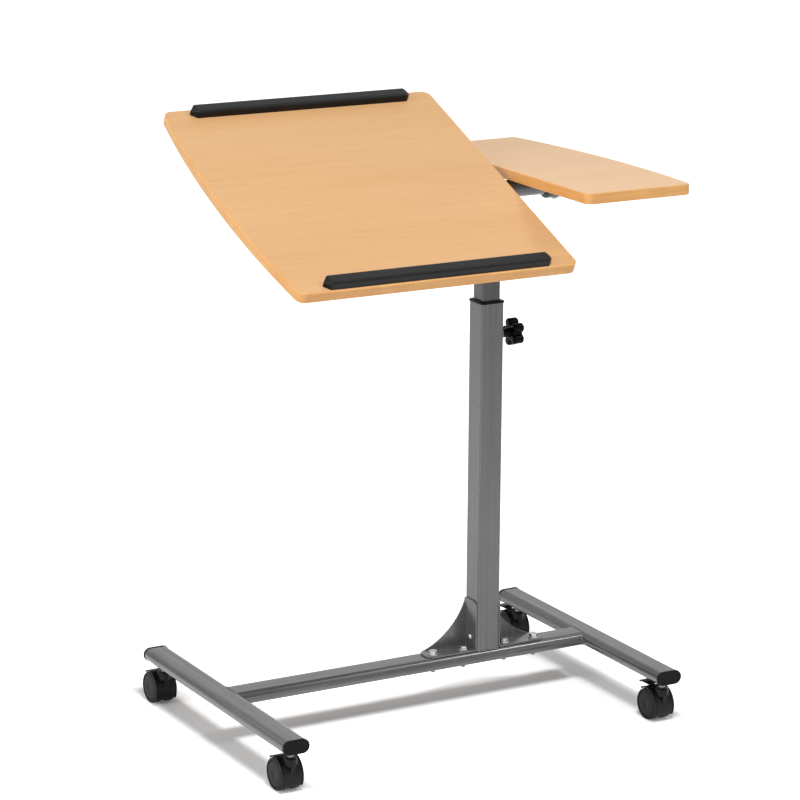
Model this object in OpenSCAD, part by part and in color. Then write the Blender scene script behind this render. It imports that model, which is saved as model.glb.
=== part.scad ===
// Rolling laptop cart: an H base on four twin-wheel casters, a telescopic
// square post, a tilting main board and a fixed side board.
// Lengths are millimetres and angles are degrees. X runs to the user's right,
// Y away from the user and Z up. The floor is Z = 0.

/* [Base] */
// Width of a flat-oval foot tube
foot_w = 34; // [30:0.5:42]
// Height of a flat-oval foot tube
foot_h = 17; // [15:0.5:20]
// Length of a bare foot tube
foot_len = 383; // [330:1:440]
// Reach of the foot tubes forward of the post's axis
foot_front = 193; // [165:1:220]
// Distance between the centre lines of the two feet
foot_spread = 523.5; // [460:0.5:600]
// Distance from the post's axis to the right foot's centre line
foot_right = 156; // [130:1:200]
// Width of the cross bar
bar_w = 38; // [34:0.5:44]
// Height of the cross bar
bar_h = 17; // [14:0.5:17]
// Wall of the foot tubes and the cross bar
tube_wall = 1.5; // [1:0.1:2]
// Thickness of an end cap's face
cap_t = 4; // [2:0.5:6]
// Overhang of an end cap round its tube
cap_lip = 0.5; // [0:0.1:1]
// Depth of an end cap's plug in its tube
cap_plug = 5; // [3:0.5:6]

/* [Post] */
// Width of the square outer post
post_w = 32; // [30:0.5:40]
// Wall of the outer post
post_wall = 1.5; // [1.2:0.1:2]
// Outside corner radius of the outer post
post_r = 3; // [2.5:0.1:4]
// Length of the outer post
post_len = 450; // [380:5:520]
// Width of the square inner post
inner_w = 25; // [20:0.5:25]
// Wall of the inner post
inner_wall = 1.5; // [1.2:0.1:2]
// Outside corner radius of the inner post
inner_r = 2.5; // [2:0.1:3]
// Length of the inner post below the pivot tube's axis
inner_len = 430; // [380:5:460]
// Height of the pivot tube's axis over the outer post's top
inner_out = 139.5; // [60:0.5:260]
// Depth of the guide sleeve in the outer post
sleeve_depth = 28; // [15:1:32]
// Thickness of the guide sleeve's collar
sleeve_t = 3; // [2:0.5:5]
// Overhang of the guide sleeve's collar round the outer post
sleeve_lip = 1; // [0.5:0.1:2]
// Height of the glide on the inner post's lower end
glide_h = 22; // [12:1:40]

/* [Gussets] */
// Thickness of the gusset sheet
gusset_t = 2; // [1.5:0.1:3]
// Reach of a gusset out from the post
gusset_reach = 70; // [66:1:85]
// Rise of a gusset over the cross bar
gusset_rise = 65; // [55:1:80]
// Width of a gusset's flanges
gusset_w = 30; // [26:0.5:34]
// Radius of the gusset's hollow edge
gusset_arc = 97; // [90:1:120]
// Distance of the near bolt from the post's side
bolt_near = 14; // [11:1:20]
// Distance of the far bolt from the post's side
bolt_far = 58; // [45:1:60]
// Thread diameter of the gusset bolts
bolt_d = 6; // [5:0.5:8]
// Width across flats of the gusset bolts' heads
bolt_af = 10; // [9:0.5:13]
// Height of a bolt's head
bolt_head = 4; // [3:0.5:6]
// Length of thread that shows under the cross bar
bolt_tip = 4.5; // [2:0.5:8]
// Height of the post screws over the cross bar
post_screw_up = 15.5; // [10:0.5:40]
// Diameter of the small screws
screw_d = 4; // [3:0.5:4.5]

/* [Boards] */
// Thickness of both boards
board_t = 13; // [12:0.5:18]
// Thickness of the edge band round each board
band_t = 1.5; // [0.8:0.1:2]
// Depth of the main board from front to back
main_depth = 399; // [360:1:440]
// Width of the main board at its widest
main_w = 385; // [370:1:430]
// Reach of the main board to the right of the post's axis
main_right = 9; // [5:0.5:20]
// Distance of the main board's middle in front of the pivot axis
main_shift = 5; // [0:0.5:20]
// Radius of the main board's bowed left edge
main_arc = 1380; // [1200:10:4000]
// Distance of the main board's widest point in front of the pivot axis
main_peak = 14; // [0:1:60]
// Corner radius of the main board
main_corner = 11; // [4:0.5:14]
// Tilt of the main board as shown
tilt = 22.9; // [0:0.1:34]
// Gap between the two boards
board_gap = 13; // [6:0.5:16]
// Depth of the side board from front to back
side_depth = 386; // [340:2:440]
// Width of the side board at its widest
side_w = 155; // [152:1:200]
// Radius of the side board's bowed right edge
side_arc = 1350; // [1200:10:4000]
// Distance of the side board's widest point in front of its middle
side_peak = 56; // [0:1:150]
// Corner radius of the side board
side_corner = 10; // [4:0.5:14]

/* [Ledges] */
// Length of a ledge from tip to tip
ledge_len = 304; // [200:1:330]
// Width of a ledge
ledge_w = 18; // [14:0.5:24]
// Height of a ledge
ledge_h = 10; // [7:0.5:14]
// Distance from the board's edge to a ledge
ledge_inset = 2.5; // [2.5:0.5:10]
// Distance from the board's right edge to a ledge's tip
ledge_right = 34; // [20:1:50]
// Radius of a ledge's top edges
ledge_round = 3; // [2:0.5:4]
// Length of a ledge's pointed ends
ledge_tip = 6.5; // [4:0.5:10]

/* [Tilt support] */
// Diameter of the pivot tube
pivot_d = 22; // [19:0.5:25]
// Wall of the pivot tube
pivot_wall = 1.5; // [1:0.1:2]
// Thickness of the metal between the pivot tube and the boards
saddle_t = 2; // [1.5:0.1:3]
// Width of a saddle or clamp along the pivot tube
clamp_w = 30; // [22:1:36]
// Length of a saddle or clamp flange from front to back
clamp_len = 74; // [64:1:90]
// Distance from the main board's right edge to the first clamp
clamp_first = 74.5; // [60:0.5:90]
// Distance between the two clamps
clamp_span = 230; // [180:5:250]
// Distance from the side board's left edge to the first saddle
saddle_first = 74; // [66:1:76]
// Distance between the two saddles
saddle_span = 44; // [40:1:48]
// Length of the clamp's ears under its ring
ear_len = 18; // [15:0.5:24]
// Thickness of each clamp ear
ear_t = 7; // [5:0.5:9]
// Slit between the clamp's ears
ear_gap = 3; // [2:0.5:4]

/* [Knobs] */
// Diameter over a hand knob's lobes
knob_d = 36; // [30:1:42]
// Thickness of a hand knob
knob_t = 15; // [12:1:22]
// Length of a hand knob's neck
knob_neck = 9; // [7:0.5:12]
// Number of lobes on a hand knob
knob_lobes = 5; // [4:1:7]
// Radius of a hand knob's lobe
lobe_r = 6; // [4.5:0.5:7]
// Thread diameter of the knobs' studs
stud_d = 8; // [6:0.5:8]
// Height of the height knob below the outer post's top
knob_drop = 43; // [36:1:60]
// Length of the weld nut on the post
boss_len = 7; // [5:0.5:12]
// Diameter of the weld nut on the post
boss_d = 12; // [11:0.5:16]

/* [Casters] */
// Height of the foot tubes' underside over the floor
caster_h = 53; // [50:0.5:60]
// Diameter of a caster's wheels
wheel_d = 40; // [36:0.5:42]
// Width of one wheel
wheel_w = 10.5; // [8:0.5:12]
// Thickness of the housing between the wheels
web_t = 6; // [5:0.5:8]
// Distance from the swivel axis back to the wheel axle
trail = 15; // [13:0.5:17]
// Distance from a foot tube's front end to the swivel axis
stem_front = 13.5; // [13:0.5:30]
// Distance from a foot tube's back end to the swivel axis
stem_back = 20.5; // [13:0.5:30]
// Thickness of a caster's mudguard
guard_t = 2; // [1.5:0.1:2.5]
// Diameter of a caster's swivel stem
stem_d = 8; // [6:0.5:8]
// Diameter of a caster's axle
axle_d = 6; // [4:0.5:7]
// Length of a brake pedal behind its pivot
pedal_len = 11.5; // [9:0.5:14]
// Width of a brake pedal
pedal_w = 24; // [18:1:28]

/* [Hidden] */
$fn = 64;

// Clearances: running fits, the sliding post, flat seats, wheels in their
// guards, and plugs in their tubes.
run_gap = 0.06;
slide_gap = 0.15;
seat_gap = 0.3;
wheel_gap = 0.8;
plug_gap = 0.05;
skin = 0.1;

// Levels of the base
foot_z = caster_h + foot_h / 2;
bar_top = foot_z + bar_h / 2;
bar_low = foot_z - bar_h / 2;
post_top = bar_top + post_len;
axis_z = post_top + inner_out;
foot_left = foot_right - foot_spread;
foot_back = foot_len - foot_front;
foot_xs = [foot_left, foot_right];
stem_ys = [stem_front - foot_front, foot_back - stem_back];

// Boards, measured from the pivot axis
board_low = pivot_d / 2 + saddle_t;
board_top = board_low + board_t;
main_left = main_right - main_w;
side_left = main_right + board_gap;
side_right = side_left + side_w;
main_front = main_depth / 2 + main_shift;
main_back = main_depth / 2 - main_shift;
side_half = side_depth / 2;
ledge_mid = main_right - ledge_right - ledge_len / 2;
ledge_ys = [ledge_inset + ledge_w / 2 - main_front, main_back - ledge_inset - ledge_w / 2];
clamp_xs = [main_right - clamp_first, main_right - clamp_first - clamp_span];
saddle_xs = [side_left + saddle_first, side_left + saddle_first + saddle_span];
tube_over = 10;
tube_left = clamp_xs[1] - clamp_w / 2 - tube_over;
tube_right = saddle_xs[1] + clamp_w / 2 + tube_over;
ring_r = pivot_d / 2 + 5;
flange_t = 4;
ear_z = -ring_r - ear_len / 2 + 1;

// Knobs and nuts
boss_x = post_w / 2;
knob_x = boss_x + boss_len + seat_gap;
knob_z = post_top - knob_drop;
nut_h = 5;
nut_af = 1.65 * stud_d;
ear_face = ear_gap / 2 + ear_t;
tilt_neck = max(knob_neck, ring_r + 1 - ear_face - seat_gap);

// Gussets
web_back = gusset_w / 2 + 0.5;
web_front = web_back - gusset_w;
bolt_y = -4;
bolt_xs = [for (side = [-1, 1], d = [bolt_near, bolt_far]) side * (post_w / 2 + d)];
washer_t = 1.2;

// Screws
head_r = screw_d;
head_h = 2.4;
bite = board_t - 4;

// Casters, measured from the swivel axis and the floor
wheel_r = wheel_d / 2;
wheel_in = web_t / 2 + wheel_gap;
guard_in = wheel_r + wheel_gap;
guard_out = guard_in + guard_t;
guard_half = wheel_in + wheel_w + 0.2;
guard_back = 52;
guard_front = 212;
stem_flange = 2;
hood_boss = stem_d / 2 + 4.5;
socket = 8;
pin_low = wheel_r + sqrt(guard_in * guard_in - trail * trail) + guard_t;
hood_top = min(pin_low + socket, caster_h - stem_flange - 1);
pedal_pin = 3;
pedal_eye = 2.8;
pedal_off = 8;
pedal_far = guard_out + pedal_eye + 0.4;
pedal_y = trail + pedal_off;
pedal_z = wheel_r + sqrt(pedal_far * pedal_far - pedal_off * pedal_off);

// The origin is on the floor under the middle of the whole cart. In front the
// tilted board or its ledge may reach past the feet.
board_end = main_front * cos(tilt) + board_top * sin(tilt);
ledge_end = (main_front - ledge_inset - ledge_round) * cos(tilt)
    + (board_top + ledge_h - ledge_round) * sin(tilt) + ledge_round;
left_end = min(foot_left - foot_w / 2 - cap_lip, main_left);
right_end = max(foot_right + foot_w / 2 + cap_lip, side_right);
front_end = -max(foot_front + cap_t, board_end, ledge_end);
back_end = max(foot_back + cap_t, stem_ys[1] + trail + wheel_r, stem_ys[1] + pedal_y + pedal_len);
mid_x = (left_end + right_end) / 2;
mid_y = (front_end + back_end) / 2;

// Shared shapes

module place() translate([-mid_x, -mid_y, 0]) children();

// Frame of the level boards: the origin is on the pivot axis over the post.
module on_axis() place() translate([0, 0, axis_z]) children();

// Frame of the tilted board
module tilted() on_axis() rotate([tilt, 0, 0]) children();

// A flat oval with round ends
module flat_oval(w, h) {
    square([w - h, h], center = true);
    for (side = [-1, 1]) translate([side * (w - h) / 2, 0]) circle(r = h / 2);
}

// A square with round corners
module round_square(w, r) {
    square([w - 2 * r, w], center = true);
    square([w, w - 2 * r], center = true);
    for (x = [-1, 1], y = [-1, 1]) translate([x, y] * (w / 2 - r)) circle(r = r);
}

module rod(r, len) cylinder(r = r, h = len);

// A rod from x0 to x1 along X
module rod_x(r, x0, x1) translate([x0, 0, 0]) rotate([0, 90, 0]) rod(r, x1 - x0);

// A rod from y0 to y1 along Y
module rod_y(r, y0, y1) translate([0, y1, 0]) rotate([90, 0, 0]) rod(r, y1 - y0);

// A hexagon across its flats
module hexagon(af, h) cylinder(r = af / sqrt(3), h = h, $fn = 6);

// A flat outline in the YZ plane, spread over a width along X
module across_x(w) rotate([90, 0, 90]) linear_extrude(w, center = true) children();

// Base

module foot_solid(x) {
    translate([x, foot_back, foot_z]) rotate([90, 0, 0])
        linear_extrude(foot_len) flat_oval(foot_w, foot_h);
}

module foot_tube(x) {
    difference() {
        foot_solid(x);
        translate([x, foot_back + 1, foot_z]) rotate([90, 0, 0])
            linear_extrude(foot_len + 2) flat_oval(foot_w - 2 * tube_wall, foot_h - 2 * tube_wall);
        for (y = stem_ys) translate([x, y, caster_h - 1]) rod(stem_d / 2 + plug_gap, tube_wall + 2);
    }
}

module foot_tube_left() color("slategray") place() foot_tube(foot_left);
module foot_tube_right() color("slategray") place() foot_tube(foot_right);

// The bar's ends are cut to the round sides of the feet.
module cross_bar() color("slategray") place() difference() {
    translate([foot_left, 0, foot_z]) rotate([90, 0, 90])
        linear_extrude(foot_spread) flat_oval(bar_w, bar_h);
    translate([foot_left - 1, 0, foot_z]) rotate([90, 0, 90])
        linear_extrude(foot_spread + 2) flat_oval(bar_w - 2 * tube_wall, bar_h - 2 * tube_wall);
    for (x = foot_xs) foot_solid(x);
    for (x = bolt_xs) translate([x, bolt_y, bar_low - 1]) rod(bolt_d / 2 + plug_gap, bar_h + 2);
}

// A plug in the tube's end with a face that covers the wall
module end_cap(x, end, out) color("#1c1c1d") place() {
    translate([x, end, foot_z]) rotate([out * 90, 0, 0]) {
        linear_extrude(cap_t) flat_oval(foot_w + 2 * cap_lip, foot_h + 2 * cap_lip);
        translate([0, 0, -cap_plug]) linear_extrude(cap_plug + skin)
            flat_oval(foot_w - 2 * tube_wall - 2 * plug_gap, foot_h - 2 * tube_wall - 2 * plug_gap);
    }
}

module cap_front_left() end_cap(foot_left, -foot_front, 1);
module cap_front_right() end_cap(foot_right, -foot_front, 1);
module cap_back_left() end_cap(foot_left, foot_back, -1);
module cap_back_right() end_cap(foot_right, foot_back, -1);

// Post

module outer_post() color("slategray") place() difference() {
    translate([0, 0, bar_top]) linear_extrude(post_len) difference() {
        round_square(post_w, post_r);
        round_square(post_w - 2 * post_wall, post_r - post_wall);
    }
    translate([0, 0, knob_z]) rod_x(stud_d / 2 + 0.5, 0, post_w);
    translate([0, 0, bar_top + post_screw_up]) rod_x(screw_d / 2, -post_w, post_w);
}

// A plastic guide in the outer post's mouth, with a collar on its rim
module post_sleeve() color("#161617") place() {
    translate([0, 0, post_top - sleeve_depth]) linear_extrude(sleeve_depth) difference() {
        round_square(post_w - 2 * post_wall - 2 * plug_gap, post_r - post_wall);
        round_square(inner_w + 2 * slide_gap, inner_r + slide_gap);
    }
    translate([0, 0, post_top]) linear_extrude(sleeve_t) difference() {
        round_square(post_w + 2 * sleeve_lip, post_r + sleeve_lip);
        round_square(inner_w + 2 * slide_gap, inner_r + slide_gap);
    }
}

module height_nut() color("slategray") place() translate([0, 0, knob_z]) difference() {
    rod_x(boss_d / 2, boss_x, boss_x + boss_len);
    rod_x(stud_d / 2 + run_gap, boss_x - 1, boss_x + boss_len + 1);
}

// Gussets

// The web seen from the front: its outer edge is a hollow arc that starts
// below the upright flange's top.
module web_outline() {
    end_x = gusset_reach - 10;
    rise = gusset_rise - gusset_t - 4;
    chord = sqrt(end_x * end_x + rise * rise);
    sink = sqrt(gusset_arc * gusset_arc - chord * chord / 4);
    difference() {
        polygon([[0, 0], [end_x, 0], [0, rise]]);
        translate([end_x / 2 + sink * rise / chord, rise / 2 + sink * end_x / chord])
            circle(r = gusset_arc, $fn = 128);
    }
}

// A pressed bracket on the right of the post: a base flange, an upright
// flange and a web along the back
module gusset() {
    corner = 7;
    difference() {
        union() {
            translate([post_w / 2, 0, bar_top]) linear_extrude(gusset_t) polygon([
                [0, web_front], [gusset_reach - corner, web_front],
                [gusset_reach, web_front + corner], [gusset_reach, web_back - corner],
                [gusset_reach - corner, web_back], [0, web_back]
            ]);
            translate([post_w / 2, 0, bar_top]) rotate([90, 0, 90]) linear_extrude(gusset_t) polygon([
                [web_front, 0], [web_back, 0], [web_back, gusset_rise],
                [web_front + corner, gusset_rise], [web_front, gusset_rise - corner / 2]
            ]);
            translate([post_w / 2 + gusset_t - skin, web_back, bar_top + gusset_t - skin])
                rotate([90, 0, 0]) linear_extrude(gusset_t) web_outline();
        }
        for (d = [bolt_near, bolt_far])
            translate([post_w / 2 + d, bolt_y, bar_top - 1]) rod(bolt_d / 2 + plug_gap, gusset_t + 2);
        translate([0, 0, bar_top + post_screw_up])
            rod_x(screw_d / 2 + plug_gap, post_w / 2 - 1, post_w / 2 + gusset_t + 1);
    }
}

module gusset_right() color("slategray") place() gusset();
module gusset_left() color("slategray") place() mirror([1, 0, 0]) gusset();

module gusset_bolts() color("silver") place() {
    top = bar_top + gusset_t;
    for (x = bolt_xs) translate([x, bolt_y, 0]) {
        translate([0, 0, bar_low - bolt_tip]) rod(bolt_d / 2, top - bar_low + bolt_tip + skin);
        translate([0, 0, top]) rod(bolt_af * 0.68, washer_t);
        translate([0, 0, top + washer_t - skin]) hexagon(bolt_af, bolt_head + skin);
    }
}

// Nuts welded inside the bar, on its lower wall
module bar_nuts() color("silver") place() {
    for (x = bolt_xs) translate([x, bolt_y, bar_low + tube_wall]) difference() {
        hexagon(bolt_af, nut_h);
        translate([0, 0, -1]) rod(bolt_d / 2 + plug_gap, nut_h + 2);
    }
}

module post_screws() color("silver") place() translate([0, 0, bar_top + post_screw_up]) {
    face = post_w / 2 + gusset_t;
    for (side = [0, 1]) mirror([side, 0, 0]) {
        rod_x(screw_d / 2, post_w / 2 - 5, face + skin);
        rod_x(head_r, face, face + head_h);
    }
}

// Height lock

// A star knob on the Z axis, with its neck at Z = 0 and a blind hole for the stud
module star_knob(neck) difference() {
    core = knob_d / 2 - lobe_r;
    union() {
        rod(stud_d / 2 + 1.5, neck + skin);
        translate([0, 0, neck]) linear_extrude(knob_t) {
            circle(r = core);
            for (i = [0:knob_lobes - 1]) rotate(90 + i * 360 / knob_lobes)
                translate([core, 0]) circle(r = lobe_r);
        }
    }
    translate([0, 0, -1]) rod(stud_d / 2, neck + knob_t - 3 + 1);
}

module height_knob() color("#161617") place() translate([knob_x, 0, knob_z])
    rotate([0, 90, 0]) star_knob(knob_neck);

// The stud passes the weld nut and the post's wall and presses on the inner post.
module height_stud() color("silver") place() translate([0, 0, knob_z])
    rod_x(stud_d / 2, inner_w / 2 + seat_gap, knob_x + knob_neck + knob_t - 3);

// Inner post and pivot tube

module pivot_rod(r) rod_x(r, tube_left, tube_right);

// The top of the inner post is cut to the round of the pivot tube.
module inner_post() color("slategray") place() difference() {
    translate([0, 0, axis_z - inner_len]) linear_extrude(inner_len) difference() {
        round_square(inner_w, inner_r);
        round_square(inner_w - 2 * inner_wall, inner_r - inner_wall);
    }
    translate([0, 0, axis_z]) rod_x(pivot_d / 2, -post_w, post_w);
}

// A plastic shoe on the inner post's lower end, which slides in the outer post
module post_glide() color("#161617") place() {
    width = post_w - 2 * post_wall - 2 * slide_gap;
    low = axis_z - inner_len;
    translate([0, 0, low]) linear_extrude(glide_h) difference() {
        round_square(width, post_r - post_wall);
        round_square(inner_w + 2 * plug_gap, inner_r + plug_gap);
    }
    translate([0, 0, low - 3]) linear_extrude(3) round_square(width, post_r - post_wall);
}

module pivot_tube() color("slategray") on_axis() difference() {
    pivot_rod(pivot_d / 2);
    rod_x(pivot_d / 2 - pivot_wall, tube_left - 1, tube_right + 1);
    for (x = saddle_xs) translate([x, 0, -pivot_d]) rod(screw_d / 2, pivot_d);
}

module tube_plugs() color("#161617") on_axis() {
    plug = 10;
    for (end = [[tube_left, -1], [tube_right, 1]]) translate([end[0], 0, 0]) mirror([end[1] < 0 ? 1 : 0, 0, 0]) {
        rod_x(pivot_d / 2, 0, 2);
        rod_x(pivot_d / 2 - pivot_wall - plug_gap, -plug, skin);
    }
}

// Saddles of the side board

// Seen along the pivot tube: a flange under the board and a ring round the tube
module ring_outline(flange) {
    translate([-clamp_len / 2, board_low - flange]) square([clamp_len, flange]);
    difference() {
        circle(r = ring_r);
        translate([-ring_r, board_low]) square([2 * ring_r, ring_r]);
    }
}

module flange_holes() {
    for (x = [-1, 1], y = [-1, 1])
        translate([x * (clamp_w / 2 - 6), y * (clamp_len / 2 - 7), board_low - flange_t - 1])
            rod(screw_d / 2 + plug_gap, flange_t + 2);
}

module saddle(x) color("dimgray") on_axis() translate([x, 0, 0]) difference() {
    across_x(clamp_w) ring_outline(flange_t);
    rod_x(pivot_d / 2 + plug_gap, -clamp_w, clamp_w);
    translate([0, 0, -2 * ring_r]) rod(screw_d / 2 + plug_gap, 2 * ring_r);
    flange_holes();
}

module saddle_inner() saddle(saddle_xs[0]);
module saddle_outer() saddle(saddle_xs[1]);

// One screw through each saddle keeps the side board level.
module saddle_screws() color("silver") on_axis() {
    for (x = saddle_xs) translate([x, 0, 0]) {
        translate([0, 0, -ring_r - skin]) rod(screw_d / 2, ring_r - pivot_d / 2 + 5);
        translate([0, 0, -ring_r - head_h]) rod(head_r, head_h);
    }
}

// Four wood screws hold a flange to the board over it.
module flange_screws(x) {
    for (dx = [-1, 1], y = [-1, 1])
        translate([x + dx * (clamp_w / 2 - 6), y * (clamp_len / 2 - 7), board_low - flange_t]) {
            translate([0, 0, -skin]) rod(screw_d / 2, flange_t + bite + skin);
            translate([0, 0, -head_h]) rod(head_r, head_h);
        }
}

module side_board_screws() color("silver") on_axis() for (x = saddle_xs) flange_screws(x);

// Boards

// The corner between a straight edge and a wide arc is cut off and rounded:
// r is the corner's radius, arc the edge's radius, mid the arc's centre,
// far the straight edge's place in Y and way the side that the corner is on.
module arc_corner(r, arc, mid, far, way) {
    down = far > mid[1] ? -1 : 1;
    cy = far + down * r;
    cx = mid[0] + way * sqrt((arc - r) * (arc - r) - (cy - mid[1]) * (cy - mid[1]));
    tip = mid[0] + way * sqrt(arc * arc - (far - mid[1]) * (far - mid[1]));
    turn = atan2(cy - mid[1], cx - mid[0]);
    difference() {
        polygon([
            [cx, cy], [cx, far - down], [tip + way * 2, far - down],
            mid + (arc + 2) * [cos(turn), sin(turn)]
        ]);
        translate([cx, cy]) circle(r = r);
    }
}

// A right-angled corner at p, with the board on the side that way points to
module square_corner(r, p, way) {
    difference() {
        translate(p + [way[0] * r / 2 - way[0] / 2, way[1] * r / 2 - way[1] / 2])
            square([r + 1, r + 1], center = true);
        translate(p + way * r) circle(r = r);
    }
}

// The main board from above, drawn in by inset all round
module main_outline(inset) {
    mid = [main_left + main_arc, -main_peak];
    arc = main_arc - inset;
    right = main_right - inset;
    front = inset - main_front;
    back = main_back - inset;
    r = main_corner - inset;
    difference() {
        intersection() {
            translate([main_left, front]) square([right - main_left, back - front]);
            translate(mid) circle(r = arc, $fn = 256);
        }
        for (end = [[front, 1], [back, -1]]) {
            arc_corner(r, arc, mid, end[0], -1);
            square_corner(r, [right, end[0]], [-1, end[1]]);
        }
    }
}

// The side board from above, drawn in by inset all round
module side_outline(inset) {
    mid = [side_right - side_arc, -side_peak];
    arc = side_arc - inset;
    left = side_left + inset;
    far = side_half - inset;
    r = side_corner - inset;
    difference() {
        intersection() {
            translate([left, -far]) square([side_right - left, 2 * far]);
            translate(mid) circle(r = arc, $fn = 256);
        }
        for (side = [-1, 1]) {
            arc_corner(r, arc, mid, side * far, 1);
            square_corner(r, [left, side * far], [1, -side]);
        }
    }
}

module pilot_holes(x) {
    for (dx = [-1, 1], y = [-1, 1])
        translate([x + dx * (clamp_w / 2 - 6), y * (clamp_len / 2 - 7), board_low - 1])
            rod(screw_d / 2, bite + 1);
}

module side_board() color("burlywood") on_axis() difference() {
    translate([0, 0, board_low]) linear_extrude(board_t) side_outline(band_t);
    for (x = saddle_xs) pilot_holes(x);
}

module side_edge_band() color("tan") on_axis() translate([0, 0, board_low])
    linear_extrude(board_t) difference() {
        side_outline(0);
        side_outline(band_t);
    }

ledge_screw_xs = [ledge_mid - ledge_len / 3, ledge_mid + ledge_len / 3];

module main_board() color("burlywood") tilted() difference() {
    translate([0, 0, board_low]) linear_extrude(board_t) main_outline(band_t);
    for (x = clamp_xs) pilot_holes(x);
    for (x = ledge_screw_xs, y = ledge_ys)
        translate([x, y, board_low - 1]) rod(screw_d / 2 + plug_gap, board_t + 2);
}

module main_edge_band() color("tan") tilted() translate([0, 0, board_low])
    linear_extrude(board_t) difference() {
        main_outline(0);
        main_outline(band_t);
    }

// Ledges

// A bar across the board with a rounded top. Its ends are pointed as seen from
// above, and slope down to the tips.
module ledge(y) tilted() translate([ledge_mid, y, board_top]) difference() {
    half = ledge_len / 2;
    intersection() {
        across_x(ledge_len) {
            translate([-ledge_w / 2, 0]) square([ledge_w, ledge_h - ledge_round]);
            translate([ledge_round - ledge_w / 2, 0]) square([ledge_w - 2 * ledge_round, ledge_h]);
            for (side = [-1, 1])
                translate([side * (ledge_w / 2 - ledge_round), ledge_h - ledge_round]) circle(r = ledge_round);
        }
        rotate([90, 0, 0]) linear_extrude(2 * ledge_w, center = true) polygon([
            [-half, 0], [half, 0], [half, ledge_h - 4], [half - ledge_tip, ledge_h],
            [ledge_tip - half, ledge_h], [-half, ledge_h - 4]
        ]);
        linear_extrude(2 * ledge_h) polygon([
            [-half, 0], [ledge_tip - half, -ledge_w / 2], [half - ledge_tip, -ledge_w / 2],
            [half, 0], [half - ledge_tip, ledge_w / 2], [ledge_tip - half, ledge_w / 2]
        ]);
    }
    for (x = ledge_screw_xs) translate([x - ledge_mid, 0, -1]) rod(screw_d / 2, 1 + ledge_h / 2);
}

module front_ledge() color("#1b1b1c") ledge(ledge_ys[0]);
module back_ledge() color("#1b1b1c") ledge(ledge_ys[1]);

module ledge_screws() color("silver") tilted()
    for (x = ledge_screw_xs, y = ledge_ys) translate([x, y, board_low]) {
        translate([0, 0, -skin]) rod(screw_d / 2, board_t + ledge_h / 2 + skin);
        translate([0, 0, -head_h]) rod(head_r, head_h);
    }

// Clamps of the tilting board

// A split ring that turns on the pivot tube, with two ears for its bolt
module clamp(x) color("dimgray") tilted() translate([x, 0, 0]) difference() {
    union() {
        across_x(clamp_w) ring_outline(flange_t);
        across_x(clamp_w) translate([-ear_face, -ring_r - ear_len])
            square([2 * ear_face, ring_r + ear_len]);
    }
    rod_x(pivot_d / 2 + run_gap, -clamp_w, clamp_w);
    across_x(2 * clamp_w) translate([-ear_gap / 2, -2 * ring_r - ear_len])
        square([ear_gap, 2 * ring_r + ear_len]);
    translate([0, 0, ear_z]) rod_y(stud_d / 2 + run_gap, -2 * ear_face, 2 * ear_face);
    flange_holes();
}

module clamp_right() clamp(clamp_xs[0]);
module clamp_left() clamp(clamp_xs[1]);

module clamp_screws() color("silver") tilted() for (x = clamp_xs) flange_screws(x);

// A nut behind the ears, with its front face at y
module ear_nut(x, y) color("silver") tilted() translate([x, y, ear_z]) difference() {
    rotate([-90, 0, 0]) hexagon(nut_af, nut_h);
    rod_y(stud_d / 2 + plug_gap, -1, nut_h + 1);
}

// A plain bolt sets the drag of the right clamp.
module clamp_bolt() color("silver") tilted() translate([clamp_xs[0], 0, ear_z]) {
    rod_y(stud_d / 2, -ear_face - skin, ear_face + nut_h + 3);
    translate([0, -ear_face, 0]) rotate([90, 0, 0]) hexagon(nut_af, nut_h);
}

module clamp_nut() ear_nut(clamp_xs[0], ear_face);

// The knob at the front of the left clamp locks the tilt.
module tilt_knob() color("#161617") tilted()
    translate([clamp_xs[1], -ear_face - seat_gap, ear_z]) rotate([90, 0, 0]) star_knob(tilt_neck);

module tilt_stud() color("silver") tilted() translate([clamp_xs[1], 0, ear_z])
    rod_y(stud_d / 2, -ear_face - seat_gap - tilt_neck - knob_t + 3, ear_face + nut_h + 3);

module tilt_nut() ear_nut(clamp_xs[1], ear_face);

// Casters

module stem_nuts() color("silver") place() for (x = foot_xs, y = stem_ys)
    translate([x, y, caster_h + tube_wall]) difference() {
        hexagon(nut_af, nut_h + 1);
        translate([0, 0, -1]) rod(stem_d / 2 + plug_gap, nut_h + 3);
    }

module caster_stems() color("silver") place() for (x = foot_xs, y = stem_ys) translate([x, y, 0]) {
    translate([0, 0, pin_low + seat_gap]) rod(stem_d / 2, caster_h + tube_wall + nut_h + 3 - pin_low - seat_gap);
    translate([0, 0, caster_h - stem_flange]) rod(stem_d / 2 + 3.5, stem_flange);
}

// The frame of the caster at foot x and stem y
module caster(x, y, name_color) color(name_color) place() translate([x, y, 0]) children();

// A sector round the axle, from above the back over the top to low at the front
module guard_sector(r) {
    far = 4 * guard_out;
    intersection() {
        circle(r = r);
        polygon([
            [0, 0], far * [cos(guard_back), sin(guard_back)], [0, 2 * far],
            [-2 * far, 0], far * [cos(guard_front), sin(guard_front)]
        ]);
    }
}

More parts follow.
